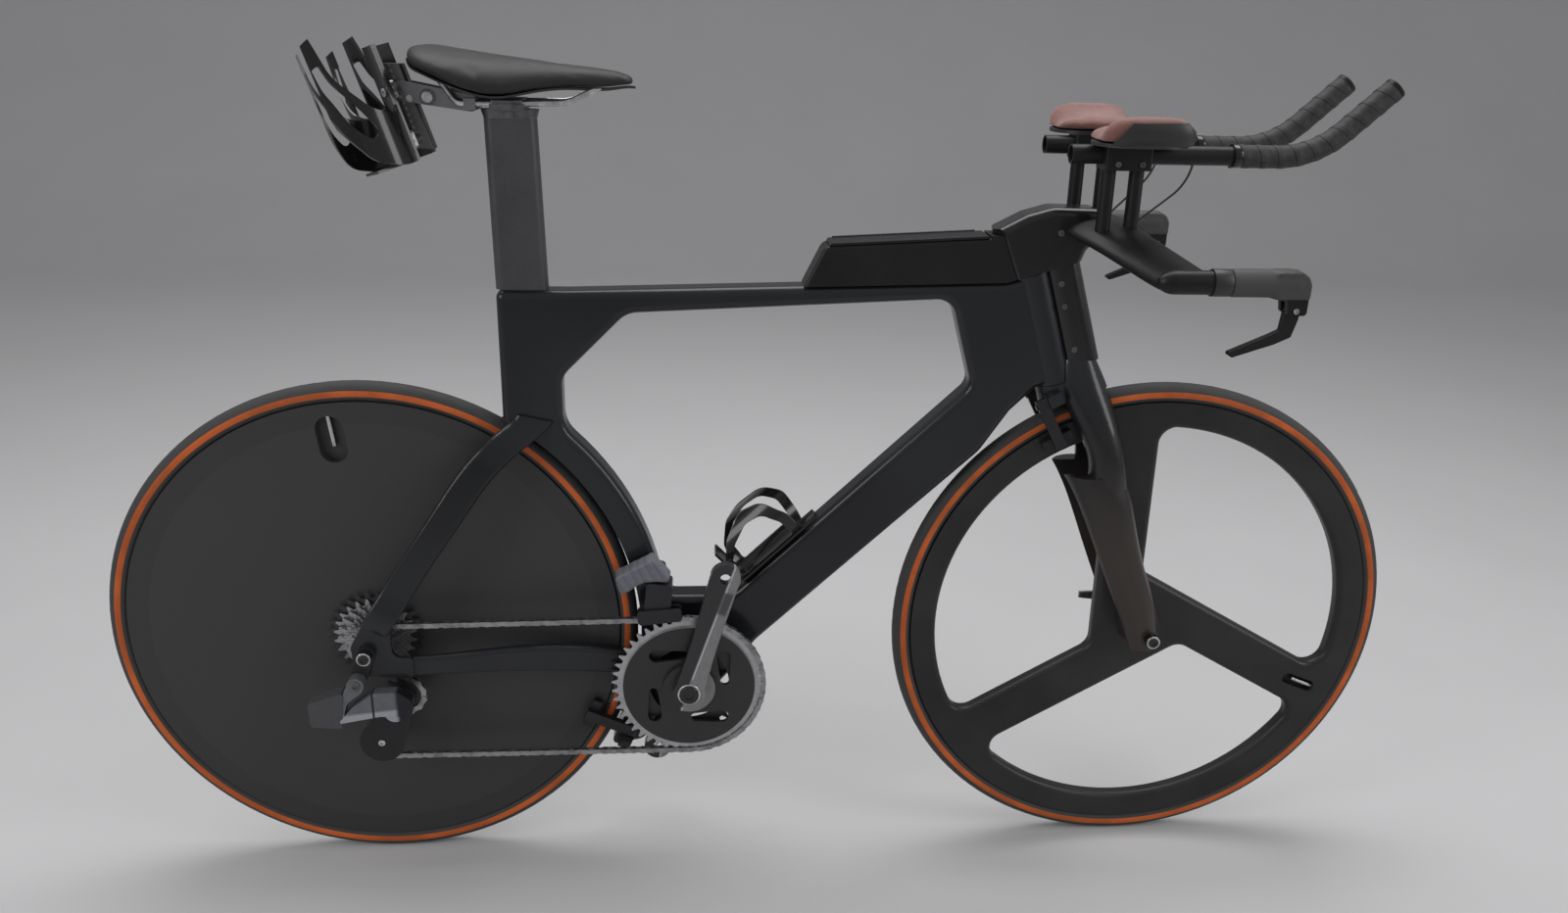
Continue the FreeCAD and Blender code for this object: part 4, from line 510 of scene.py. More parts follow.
def make_finishes(colours):
    """Every finish of the bike by its slot in the record."""
    return {
        "frame_paint": frame_paint("frame paint", tuple(colours.frame)),
        "post_carbon": moulded(
            "satin carbon post", (0.048, 0.048, 0.052), 0.3, 0.36, 500.0, 0.00003, specular_ior_level=0.5
        ),
        "satin_black": moulded(
            "satin black composite", (0.011, 0.011, 0.012), 0.35, 0.38, 620.0, 0.00004,
            specular_ior_level=0.22
        ),
        "gloss_black": moulded(
            "gloss black composite", (0.009, 0.009, 0.010), 0.3, 0.22, 300.0, 0.00002,
            coat_weight=0.4, coat_roughness=0.06, specular_ior_level=0.25
        ),
        "disc_grey": disc_skin("disc skin", tuple(colours.disc)),
        "spoke_black": moulded(
            "satin spoke carbon", (0.019, 0.019, 0.020), 0.4, 0.4, 540.0, 0.00005, specular_ior_level=0.3
        ),
        "silver": steel("polished silver metal", (0.62, 0.62, 0.63), 0.3),
        "alloy_grey": steel("grey anodised alloy", (0.16, 0.16, 0.165), 0.4, metallic=0.85),
        "crank_grey": crank_finish("grey crank", (0.030, 0.030, 0.032), (0.21, 0.21, 0.215)),
        "dark_grey": moulded(
            "dark grey composite", (0.016, 0.016, 0.018), 0.35, 0.4, 260.0, 0.00006, specular_ior_level=0.3
        ),
        "mech_grey": mech_finish("derailleur body", (0.016, 0.016, 0.018), (0.13, 0.135, 0.145)),
        "cog_steel": cassette_finish("cassette", (0.020, 0.020, 0.022), (0.40, 0.40, 0.41)),
        "chain_steel": steel("chain steel", (0.36, 0.36, 0.365), 0.36),
        "bracket": bracket_finish("cage bracket", (0.014, 0.014, 0.015), (0.20, 0.20, 0.205)),
        "ring_black": chainring_finish("chainring", (0.014, 0.014, 0.015), (0.48, 0.48, 0.49)),
        "bearing_steel": steel("bearing steel", (0.42, 0.42, 0.43), 0.34),
        "black_plastic": moulded("black plastic", (0.018, 0.018, 0.019), 0.35, 0.45, 800.0, 0.00005),
        "grip_rubber": moulded("grip rubber", (0.048, 0.047, 0.048), 0.25, 0.62, 900.0, 0.0001),
        "bar_tape": tape_cloth("wound bar tape", (0.022, 0.022, 0.023)),
        "pad_foam": pad_leather("arm pad cover", tuple(colours.pads)),
        "saddle_skin": saddle_skin("saddle cover", (0.013, 0.013, 0.014)),
        "wrap_tape": wrap_foil("grey cloth tape", (0.125, 0.130, 0.150)),
    }


OWN_FINISH = {
    "rear_cage_bracket": "bracket",
    "front_derailleur": "dark_grey",
    "derailleur_cage": "dark_grey",
    "derailleur_body": "mech_grey",
    "derailleur_battery": "post_carbon",
    "derailleur_hanger": "dark_grey",
    "cassette": "cog_steel",
    "rear_skewer": "gloss_black",
    "front_skewer": "gloss_black",
    **{f"{end}_brake_arm_{side}": "dark_grey" for end in ("rear", "front") for side in SIDES},
    "steerer_column": "gloss_black",
    "stem": "gloss_black",
}
FINISHES = {}


class BIKE_OT_finishes(bpy.types.Operator):
    """Makes the finishes and puts them on the rigid pieces"""

    bl_idname = "bike.finishes"
    bl_label = "Finishes"

    def execute(self, context):
        colours = context.scene.bike_colours
        FINISHES.update(make_finishes(colours))
        rubber = (tuple(colours.tread), tuple(colours.sidewall))
        for slot, nodes in slots_to_nodes().items():
            for node in nodes:
                if slot == "tyre_rubber":
                    axle = REAR_AXLE if node.startswith("rear") else FRONT_AXLE
                    cover_node(node, tyre_rubber(node.replace("_", " "), axle, *rubber))
                else:
                    cover_node(node, FINISHES[OWN_FINISH.get(node, slot)])
        return {"FINISHED"}


def deselect():
    if bpy.context.mode != "OBJECT":
        object_mode()
    bpy.ops.object.select_all(action="DESELECT")


def make_active(obj):
    deselect()
    obj.select_set(True)
    bpy.context.view_layer.objects.active = obj
    return obj


def new_piece(name, add, **options):
    """Adds a primitive with nothing else selected and gives it its name."""
    deselect()
    add(**options)
    obj = bpy.context.active_object
    obj.name = name
    obj.data.name = name
    return obj


def choose(obj, kind, test):
    """Selects the vertices, edges or faces that pass a test, and goes to edit mode."""
    make_active(obj)
    bpy.ops.object.mode_set(mode="EDIT")
    bpy.ops.mesh.select_mode(type=kind)
    bpy.ops.mesh.select_all(action="DESELECT")
    object_mode()
    mesh = obj.data
    items = {"VERT": mesh.vertices, "EDGE": mesh.edges, "FACE": mesh.polygons}[kind]
    for item in items:
        item.select = test(item)
    bpy.ops.object.mode_set(mode="EDIT")


def object_mode():
    bpy.ops.object.mode_set(mode="OBJECT")


def face_outwards(obj):
    choose(obj, "FACE", lambda f: True)
    bpy.ops.mesh.normals_make_consistent(inside=False)
    object_mode()


def apply_all(obj):
    """Applies a piece's modifiers in their order."""
    make_active(obj)
    for modifier in list(obj.modifiers):
        bpy.ops.object.modifier_apply(modifier=modifier.name)


def smooth(obj, degrees=35.0):
    make_active(obj)
    bpy.ops.object.shade_smooth_by_angle(angle=math.radians(degrees))


def place_mesh(obj, matrix):
    """Moves a piece's mesh, so that its object stays at the origin."""
    obj.data.transform(matrix)
    obj.data.update()


def join_as(name, objs):
    deselect()
    for obj in objs:
        obj.select_set(True)
    bpy.context.view_layer.objects.active = objs[0]
    bpy.ops.object.join()
    objs[0].name = name
    objs[0].data.name = name
    return objs[0]


def copy_of(obj, matrix):
    made = obj.copy()
    made.data = obj.data.copy()
    bpy.context.scene.collection.objects.link(made)
    place_mesh(made, matrix)
    return made


def discard(obj):
    bpy.data.objects.remove(obj)


def finish_piece(obj, body, slot, *nodes, finish=None):
    obj.data.materials.clear()
    obj.data.materials.append(FINISHES[finish or slot])
    if body:
        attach(obj, body)
    if nodes:
        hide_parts(*nodes)
    return obj


def node_copy(name, node):
    """A merged copy of a CAD node's mesh as a piece of its own."""
    source = frame["nodes"][node]
    obj = bpy.data.objects.new(name, source.data.copy())
    obj.data.name = name
    bpy.context.scene.collection.objects.link(obj)
    choose(obj, "VERT", lambda v: True)
    bpy.ops.mesh.remove_doubles(threshold=0.00002)
    object_mode()
    return obj


STUFFING_PRESSURE = 4.0
STUFFING_STEPS = 20
PAD_CUT = 0.0015
SADDLE_VOXEL = 0.005
PAD_VOXEL = 0.004


def remesh(obj, voxel):
    modifier = obj.modifiers.new("even skin", "REMESH")
    modifier.mode = "VOXEL"
    modifier.voxel_size = voxel
    apply_all(obj)


def swell(obj, cap, rests):
    """Blows a pad up by cloth pressure, with its resting points held and a cap on every move."""
    scene = bpy.context.scene
    before = [v.co.copy() for v in obj.data.vertices]
    held = obj.vertex_groups.new(name="held")
    held.add([v.index for v in obj.data.vertices if rests(v)], 1.0, "REPLACE")
    modifier = obj.modifiers.new("stuffing", "CLOTH")
    cloth = modifier.settings
    cloth.vertex_group_mass = "held"
    cloth.use_pressure = True
    cloth.uniform_pressure_force = STUFFING_PRESSURE
    cloth.effector_weights.gravity = 0.0
    cloth.quality = 6
    modifier.point_cache.frame_start = 1
    modifier.point_cache.frame_end = STUFFING_STEPS
    for step in range(1, STUFFING_STEPS + 1):
        scene.frame_set(step)
    graph = bpy.context.evaluated_depsgraph_get()
    after = [v.co.copy() for v in obj.evaluated_get(graph).data.vertices]
    obj.modifiers.remove(modifier)
    scene.frame_set(1)
    for vertex, old, new in zip(obj.data.vertices, before, after):
        move = new - old
        if move.length > cap:
            move *= cap / move.length
        vertex.co = old + move
    obj.vertex_groups.clear()
    obj.data.update()


def round_off(obj, rounds, levels=1):
    relax = obj.modifiers.new("relax", "SMOOTH")
    relax.factor = 0.5
    relax.iterations = rounds
    finer = obj.modifiers.new("finer", "SUBSURF")
    finer.levels = levels
    finer.render_levels = levels
    apply_all(obj)
    make_active(obj)
    bpy.ops.object.shade_smooth()


def shrink(obj, depth):
    """Draws a closed skin in along its normals, as the cut shape of a pad before it is stuffed."""
    choose(obj, "VERT", lambda v: True)
    bpy.ops.transform.shrink_fatten(value=-depth)
    object_mode()


def stuffed_pad(name, node, voxel, cap):
    """A pad in place of a CAD node: an even skin, cut a little small and then stuffed."""
    obj = node_copy(name, node)
    remesh(obj, voxel)
    shrink(obj, PAD_CUT)
    swell(obj, cap, lambda v: v.normal.z < -0.8)
    return obj


class BIKE_OT_saddle(bpy.types.Operator):
    """Makes the stuffed saddle cover"""

    bl_idname = "bike.saddle"
    bl_label = "Saddle"

    def execute(self, context):
        cap = context.scene.bike_sizes.swell
        obj = stuffed_pad("saddle_cover_skin", "saddle_cover", SADDLE_VOXEL, cap)
        round_off(obj, 4)
        finish_piece(obj, "frame", "saddle_skin", "saddle_cover")
        return {"FINISHED"}


class BIKE_OT_arm_pads(bpy.types.Operator):
    """Makes the two stuffed arm pads"""

    bl_idname = "bike.arm_pads"
    bl_label = "Arm Pads"

    def execute(self, context):
        cap = context.scene.bike_sizes.swell
        for side in SIDES:
            obj = stuffed_pad(f"arm_pad_{side}_cover", f"arm_pad_{side}", PAD_VOXEL, cap)
            round_off(obj, 3)
            finish_piece(obj, "steering", "pad_foam", f"arm_pad_{side}")
        return {"FINISHED"}


EXT_SPREAD = 55
TAPE_START = bar(213, 147)
BEND_START = bar(261.4, 147)
BEND_END = bar(336.8, 176.9)
TAPE_END = bar(386, 223)
TAPE_INNER = 0.01112
TAPE_LIFT = 0.0005
TAPE_WALL = 0.0019
TAPE_LAP = 0.3
TAPE_TRIM = 0.0002
BEND_LENGTH = 0.0830
BEND_REACH = 0.02798
STRIP_SHARES = (0.0, 0.11, 0.2, 0.245, 0.3, 0.5, 0.7, 0.86, 1.0)


def extension_line(name, y):
    """The centre line of a taped extension: a straight, a bend and the raised end."""
    deselect()
    bpy.ops.curve.primitive_bezier_curve_add()
    obj = bpy.context.active_object
    obj.name = name
    spline = obj.data.splines[0]
    spline.bezier_points.add(2)
    way = (TAPE_END - BEND_END).normalized()
    shift = Vector((0, y, 0))
    rows = [
        (TAPE_START, Vector((0.01, 0, 0)), Vector((0.016, 0, 0))),
        (BEND_START, Vector((0.016, 0, 0)), Vector((BEND_REACH, 0, 0))),
        (BEND_END, way * BEND_REACH, way * 0.02),
        (TAPE_END, way * 0.02, way * 0.02),
    ]
    for point, (place, back, ahead) in zip(spline.bezier_points, rows):
        point.handle_left_type = "FREE"
        point.handle_right_type = "FREE"
        point.co = place + shift
        point.handle_left = place + shift - back
        point.handle_right = place + shift + ahead
    obj.data.resolution_u = 32
    obj.location = (0, 0, 0)
    return obj


def wound_tape(name, y, pitch):
    """A strip of tape wound along an extension, each turn lapping over the last."""
    length = (BEND_START - TAPE_START).length + BEND_LENGTH + (TAPE_END - BEND_END).length
    obj = new_piece(name, bpy.ops.mesh.primitive_plane_add, size=2)
    choose(obj, "VERT", lambda v: v.co.y < 0)
    bpy.ops.mesh.delete(type="VERT")
    bpy.ops.mesh.select_all(action="SELECT")
    bpy.ops.mesh.subdivide(number_cuts=len(STRIP_SHARES) - 2)
    object_mode()
    width = pitch * (1 + TAPE_LAP)
    for vertex, share in zip(sorted(obj.data.vertices, key=lambda v: v.co.x), STRIP_SHARES):
        lift = TAPE_LIFT if share < 0.24 else (0.6 * TAPE_LIFT if share < 0.28 else 0.0)
        vertex.co = (share * width - width, TAPE_INNER + lift, 0)
    turns = int(length / pitch) + 2
    screw = obj.modifiers.new("winding", "SCREW")
    screw.axis = "X"
    screw.screw_offset = pitch
    screw.iterations = turns
    screw.steps = 36
    screw.render_steps = 36
    wall = obj.modifiers.new("tape thickness", "SOLIDIFY")
    wall.thickness = TAPE_WALL
    wall.offset = 1.0
    apply_all(obj)
    for low in (True, False):
        choose(obj, "VERT", lambda v: True)
        bpy.ops.mesh.bisect(
            plane_co=(TAPE_TRIM if low else length - TAPE_TRIM, 0, 0),
            plane_no=(1, 0, 0),
            use_fill=True,
            clear_inner=low,
            clear_outer=not low,
        )
        object_mode()
    face_outwards(obj)
    line = extension_line(name + "_line", y)
    bend = obj.modifiers.new("along the bar", "CURVE")
    bend.object = line
    bend.deform_axis = "POS_X"
    apply_all(obj)
    discard(line)
    smooth(obj, 40)
    return obj


class BIKE_OT_bar_tape(bpy.types.Operator):
    """Winds the tape on both extensions"""

    bl_idname = "bike.bar_tape"
    bl_label = "Bar Tape"

    def execute(self, context):
        pitch = context.scene.bike_sizes.tape_pitch
        for side, sign in SIDES.items():
            obj = wound_tape(f"extension_tape_{side}", sign * EXT_SPREAD / 1000, pitch)
            finish_piece(obj, "steering", "bar_tape", "extension_tape")
        return {"FINISHED"}


BAR_SPREAD = 207
HORN_H = 31
COLLAR_START = 138
COLLAR_END = 158
HOOD_BACK = 206
HOOD_END = 244
GRIP_END = HOOD_END - 12
GRIP_HALF = (0.0144, 0.0154)
COLLAR_HALF = (0.0138, 0.0148)
BAND_HALF = (0.0136, 0.0136)
BAND_START = 207
BAND_END = 216
EXT_H = 147
HOOD_WIDE = 0.026
HOOD_TALL = 0.031
HOOD_BROW = 0.016
HOOD_DROP = 1.2
HOOD_VOXEL = 0.002


def sleeve(name, x0, x1, h, y, half):
    """A short sleeve round a bar along X, with rounded ends.

    Places are in millimetres, the half width and half height in metres.
    """
    obj = new_piece(name, bpy.ops.mesh.primitive_cylinder_add, vertices=40, radius=1, depth=1)
    place_mesh(obj, Matrix.Rotation(math.pi / 2, 4, "Y"))
    place_mesh(obj, Matrix.Diagonal(((x1 - x0) / 1000, *half, 1)))
    choose(obj, "FACE", lambda f: abs(f.normal.x) > 0.9)
    bpy.ops.mesh.inset(thickness=0.0008)
    object_mode()
    rims = [f for f in obj.data.polygons if abs(f.normal.x) > 0.9 and len(f.vertices) == 4]
    ends = {key for f in rims for key in f.edge_keys}
    choose(obj, "EDGE", lambda e: e.key in ends)
    bpy.ops.mesh.bevel(offset=0.0006, segments=2)
    object_mode()
    place_mesh(obj, Matrix.Translation(bar((x0 + x1) / 2, h, y)))
    smooth(obj, 40)
    return obj


def grip_hood(name, y):
    """A rubber grip that swells into the hood over the lever's pivot, with a rounded brow."""
    grip = new_piece(name, bpy.ops.mesh.primitive_cylinder_add, vertices=40, radius=1, depth=1)
    place_mesh(grip, Matrix.Rotation(math.pi / 2, 4, "Y"))
    place_mesh(grip, Matrix.Diagonal(((GRIP_END - COLLAR_END) / 1000, *GRIP_HALF, 1)))
    place_mesh(grip, Matrix.Translation(bar((GRIP_END + COLLAR_END) / 2, HORN_H, y)))
    hood = new_piece(name + "_brow", bpy.ops.mesh.primitive_cube_add, size=1)
    place_mesh(hood, Matrix.Diagonal(((HOOD_END - HOOD_BACK) / 1000, HOOD_WIDE, HOOD_TALL, 1)))
    brow = {v.index for v in hood.data.vertices if v.co.x > 0 and v.co.z > 0}
    choose(hood, "EDGE", lambda e: all(i in brow for i in e.vertices))
    bpy.ops.mesh.bevel(offset=HOOD_BROW, segments=8)
    object_mode()
    place_mesh(hood, Matrix.Translation(bar((HOOD_END + HOOD_BACK) / 2, HORN_H - HOOD_DROP, y)))
    obj = join_as(name, [grip, hood])
    remesh(obj, HOOD_VOXEL)
    round_off(obj, 7)
    return obj


class BIKE_OT_grips(bpy.types.Operator):
    """Makes the rubber grips with their hoods, and the collars behind them"""

    bl_idname = "bike.grips"
    bl_label = "Grips"

    def execute(self, context):
        for side, sign in SIDES.items():
            y = sign * BAR_SPREAD
            finish_piece(grip_hood(f"grip_hood_{side}", y), "steering", "grip_rubber", "bar_grips")
            collar = sleeve(f"grip_collar_{side}", COLLAR_START, COLLAR_END, HORN_H, y, COLLAR_HALF)
            finish_piece(collar, "steering", "black_plastic", "bar_grips")
            ext_y = sign * EXT_SPREAD
            band = sleeve(f"tape_band_{side}", BAND_START, BAND_END, EXT_H, ext_y, BAND_HALF)
            finish_piece(band, "steering", "gloss_black")
        return {"FINISHED"}


WRAP_VOXEL = 0.0018
CREASE_SCALE = 0.014
CREASE_DEPTH = 0.0035
CREASE_MIDDLE = 0.62


class BIKE_OT_tape_wrap(bpy.types.Operator):
    """Makes the lump of tape on the front derailleur"""

    bl_idname = "bike.tape_wrap"
    bl_label = "Tape Wrap"

    def execute(self, context):
        obj = node_copy("front_derailleur_tape", "front_derailleur_wrap")
        remesh(obj, WRAP_VOXEL)
        clouds = bpy.data.textures.new("tape creases", "CLOUDS")
        clouds.noise_scale = CREASE_SCALE
        creased = obj.modifiers.new("creases", "DISPLACE")
        creased.texture = clouds
        creased.strength = CREASE_DEPTH
        creased.mid_level = CREASE_MIDDLE
        apply_all(obj)
        round_off(obj, 1)
        finish_piece(obj, "frame", "wrap_tape", "front_derailleur_wrap")
        return {"FINISHED"}


CHAIN_Y = -0.048
CHAIN_PITCH = 0.0127
CHAINRING_TEETH = 48
SPROCKET_TEETH = 13
PULLEY_TEETH = 12
PLATE_R = 0.0041
PLATE_WAIST = 0.72
PLATE_THICK = 0.0009
ROLLER_SIZE = (0.0034, 0.0030)
PIN_SIZE = (0.0019, 0.0072)
INNER_PLATE_Y = 0.0017
OUTER_PLATE_Y = 0.0026
LOWER_PULLEY = rear(4, -138)
UPPER_PULLEY = rear(37, -72)


def pitch_radius(teeth):
    return CHAIN_PITCH / (2 * math.sin(math.pi / teeth))


def tangent_run(a, b):
    """The straight run between two wheels (centre, signed radius), positive where it turns clockwise."""
    d = b[0] - a[0]
    lean = math.asin((b[1] - a[1]) / d.length)
    angle = math.atan2(d.z, d.x) + lean
    right = Vector((math.sin(angle), 0, -math.cos(angle)))
    return a[0] - right * a[1], b[0] - right * b[1]


class ChainLoop:
    """The chain's closed line round its four wheels, read by distance along it."""

    def __init__(self):
        wheels = [
            (CRANK_AXIS, pitch_radius(CHAINRING_TEETH)),
            (LOWER_PULLEY, pitch_radius(PULLEY_TEETH)),
            (UPPER_PULLEY, -pitch_radius(PULLEY_TEETH)),
            (REAR_AXLE, pitch_radius(SPROCKET_TEETH)),
        ]
        runs = [tangent_run(wheels[i], wheels[(i + 1) % 4]) for i in range(4)]
        self.stretches = []
        for i, (centre, r) in enumerate(wheels):
            arrive = runs[i - 1][1] - centre
            leave = runs[i][0] - centre
            first = math.atan2(arrive.z, arrive.x)
            last = math.atan2(leave.z, leave.x)
            turn = (first - last) % (2 * math.pi) if r > 0 else -((last - first) % (2 * math.pi))
            self.stretches.append((abs(turn * r), "arc", centre, abs(r), first, turn))
            self.stretches.append(((runs[i][1] - runs[i][0]).length, "run", *runs[i]))
        self.length = sum(s[0] for s in self.stretches)
        self.lower_end = self.stretches[0][0] + self.stretches[1][0]

    def at(self, distance):
        distance %= self.length
        for stretch in self.stretches:
            if distance <= stretch[0]:
                break
            distance -= stretch[0]
        share = distance / stretch[0]
        if stretch[1] == "run":
            return stretch[2].lerp(stretch[3], share)
        _, _, centre, r, first, turn = stretch
        angle = first - turn * share
        return centre + Vector((math.cos(angle), 0, math.sin(angle))) * r


def link_plate(name, thick):
    """A waisted side plate, lying in the side view between two pins."""
    obj = new_piece(name, bpy.ops.mesh.primitive_circle_add, vertices=12, radius=PLATE_R, fill_type="NGON")
    for sign in (1, -1):
        choose(obj, "VERT", lambda v: v.co.x * sign > 0.0001)
        bpy.ops.transform.translate(value=(sign * CHAIN_PITCH / 2, 0, 0))
        object_mode()
    choose(obj, "VERT", lambda v: abs(v.co.x) < 0.0001)
    bpy.ops.transform.resize(value=(1, PLATE_WAIST, 1))
    bpy.ops.mesh.select_all(action="SELECT")
    bpy.ops.mesh.extrude_region_move(TRANSFORM_OT_translate={"value": (0, 0, thick)})
    object_mode()
    face_outwards(obj)
    place_mesh(obj, Matrix.Rotation(math.pi / 2, 4, "X"))
    return obj


def link_roller(name, radius, width):
    obj = new_piece(name, bpy.ops.mesh.primitive_cylinder_add, vertices=10, radius=radius, depth=width)
    choose(obj, "FACE", lambda f: abs(f.normal.z) > 0.9)
    bpy.ops.mesh.inset(thickness=radius * 0.35, depth=-width * 0.04)
    object_mode()
    place_mesh(obj, Matrix.Rotation(math.pi / 2, 4, "X"))
    return obj


def lay_chain(loop, count, spans):
    """Copies of the plates, rollers and pins along the loop, as one list of pieces for each span."""
    plate = link_plate("link_plate", PLATE_THICK)
    roller = link_roller("link_roller", *ROLLER_SIZE)
    pin = link_roller("link_pin", *PIN_SIZE)
    made = [[] for _ in spans]
    for i in range(count):
        here = loop.at(i * loop.length / count)
        ahead = loop.at((i + 1) * loop.length / count)
        middle = (i + 0.5) * loop.length / count
        group = next(k for k, (start, stop) in enumerate(spans) if start <= middle <= stop)
        way = ahead - here
        turn = Matrix.Rotation(-math.atan2(way.z, way.x), 4, "Y")
        offset = INNER_PLATE_Y if i % 2 else OUTER_PLATE_Y
        for sign in (1, -1):
            y = CHAIN_Y + sign * offset + (PLATE_THICK if sign > 0 else 0.0)
            place = Matrix.Translation((here + ahead) / 2 + ACROSS * y) @ turn
            made[group].append(copy_of(plate, place))
        spot = Matrix.Translation(here + ACROSS * CHAIN_Y)
        made[group].append(copy_of(roller, spot))
        made[group].append(copy_of(pin, spot))
    for part in (plate, roller, pin):
        discard(part)
    return made


class BIKE_OT_chain(bpy.types.Operator):
    """Makes the chain's links along its loop"""

    bl_idname = "bike.chain"
    bl_label = "Chain"

    def execute(self, context):
        loop = ChainLoop()
        count = context.scene.bike_sizes.chain_links or 2 * round(loop.length / CHAIN_PITCH / 2)
        spans = ((0, loop.lower_end), (loop.lower_end, loop.length))
        links = lay_chain(loop, count, spans)
        names = ("chain_lower_run", "chain_upper_run")
        lower, upper = (join_as(name, group) for name, group in zip(names, links))
        for obj in (lower, upper):
            finish_piece(obj, None, "silver", "chain", finish="chain_steel")
            smooth(obj, 30)
        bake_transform(lower)
        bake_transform(upper)
        return {"FINISHED"}


def socket_bolt(name, radius, height):
    """A cap screw along +Z with a rounded rim and a six-sided socket."""
    obj = new_piece(name, bpy.ops.mesh.primitive_cylinder_add, vertices=24, radius=radius, depth=height)
    choose(obj, "EDGE", lambda e: all(obj.data.vertices[i].co.z > 0 for i in e.vertices))
    bpy.ops.mesh.bevel(offset=radius * 0.16, segments=2)
    object_mode()
    choose(obj, "FACE", lambda f: f.normal.z > 0.99)
    bpy.ops.mesh.inset(thickness=radius * 0.34)
    object_mode()
    hexed = radius * 0.46
    for vertex in obj.data.vertices:
        if vertex.select:
            angle = math.atan2(vertex.co.y, vertex.co.x)
            side = (angle % (math.pi / 3)) - math.pi / 6
            reach = hexed / math.cos(side)
            vertex.co.x = reach * math.cos(angle)
            vertex.co.y = reach * math.sin(angle)
    bpy.ops.object.mode_set(mode="EDIT")
    bpy.ops.mesh.extrude_region_move(TRANSFORM_OT_translate={"value": (0, 0, -height * 0.55)})
    object_mode()
    place_mesh(obj, Matrix.Translation((0, 0, height / 2)))
    smooth(obj, 30)
    return obj


def aim(place, axis):
    """The matrix that stands a piece made along +Z at a place, along an axis."""
    return Matrix.Translation(place) @ Vector(axis).to_track_quat("Z", "Y").to_matrix().to_4x4()


def cage_back(sign, lift, out):
    """A point on the back of a rear bottle cage, lift up its axis and out from its axis, in millimetres."""
    back = Vector((out, 0, lift))
    back.rotate(Matrix.Rotation(math.radians(-CAGE_TOE) * sign, 3, "Z"))
    back.rotate(Matrix.Rotation(math.radians(-CAGE_LEAN), 3, "Y"))
    return rear(68, 590, sign * 50) + back / 1000


CAGE_SCREW = (0.0048, 0.003)
WIDE_WASHER = (0.0088, 0.0012)
BRACKET_SCREW = (0.0062, 0.0022)
LINK_SCREW = (0.0042, 0.0018)
SPINDLE_RING = (0.0148, 0.0012)
SPINDLE_CAP = (0.0126, 0.0022)
COLUMN_SCREW = (0.0036, 0.0016)
STEM_SCREW = (0.0038, 0.0016)
CLAMP_SCREW = (0.0034, 0.002)
LEVER_PIN = (0.0032, 0.0012)
HANGER_SCREW = (0.0062, 0.002)
AXLE_RING = (0.0088, 0.0008)
AXLE_CAP = (0.0066, 0.0016)
PULLEY_SCREW = (0.0045, 0.0022)
CAGE_LIFTS = (22, 78)
COLUMN_PLACES = ((852.7, 464.6), (859.2, 436.9), (877.0, 382.9))
CLAMP_PLACES = (68, 96)


def side_rows(side, sign):
    """The fasteners that the bike has on both sides."""
    out = Vector((0, sign, 0))
    inward = (cage_back(sign, 0, 0) - cage_back(sign, 0, 1)).normalized()
    rows = []
    for i, lift in enumerate(CAGE_LIFTS, 1):
        place = cage_back(sign, lift, 37.2)
        rows.append((f"rear_cage_bolt_{side}_{i}", "frame", "silver", place, inward, CAGE_SCREW))
    rows += [
        (f"bracket_washer_{side}", "frame", "alloy_grey", rear(114, 668.1, sign * 15), out, WIDE_WASHER),
        (f"bracket_bolt_{side}", "frame", "silver", rear(114, 668.1, sign * 16.2), out, BRACKET_SCREW),
        (f"link_bolt_{side}", "frame", "silver", rear(94.1, 665.7, sign * 15), out, LINK_SCREW),
        (f"crank_ring_{side}", "crankset", "silver", CRANK_AXIS + out * 0.072, out, SPINDLE_RING),
        (f"crank_cap_{side}", "crankset", "gloss_black", CRANK_AXIS + out * 0.0732, out, SPINDLE_CAP),
    ]
    for i, (x, h) in enumerate(COLUMN_PLACES, 1):
        place = rear(x, h, sign * 21.6)
        rows.append((f"column_bolt_{side}_{i}", "steering", "alloy_grey", place, out, COLUMN_SCREW))
    stem = rear(845.8, 526.3, sign * 23.6)
    rows.append((f"stem_bolt_{side}", "steering", "alloy_grey", stem, out, STEM_SCREW))
    for i, x in enumerate(CLAMP_PLACES, 1):
        place = bar(x, 138, sign * 77)
        rows.append((f"clamp_bolt_{side}_{i}", "steering", "alloy_grey", place, out, CLAMP_SCREW))
    for word, y, axis in (("outer", 218, out), ("inner", 196, -out)):
        place = bar(231, 3, sign * y)
        rows.append((f"lever_pin_{side}_{word}", "steering", "silver", place, axis, LEVER_PIN))
    return rows


def bolt_rows():
    """Each fastener: name, body, slot, place, axis, and its radius and height."""
    drive = Vector((0, -1, 0))
    front_ring = FRONT_AXLE + drive * 0.0702
    front_cap = FRONT_AXLE + drive * 0.071
    rows = [row for side, sign in SIDES.items() for row in side_rows(side, sign)]
    return rows + [
        ("hanger_bolt", "frame", "alloy_grey", rear(-12, -34, -92), drive, HANGER_SCREW),
        ("rear_axle_ring", "frame", "silver", rear(0, 0, -86), drive, AXLE_RING),
        ("rear_axle_cap", "frame", "gloss_black", rear(0, 0, -86.8), drive, AXLE_CAP),
        ("front_axle_ring", "steering", "silver", front_ring, drive, AXLE_RING),
        ("front_axle_cap", "steering", "gloss_black", front_cap, drive, AXLE_CAP),
        ("lower_pulley_bolt", "derailleur_cage", "silver", rear(4, -138, -56.5), drive, PULLEY_SCREW),
    ]


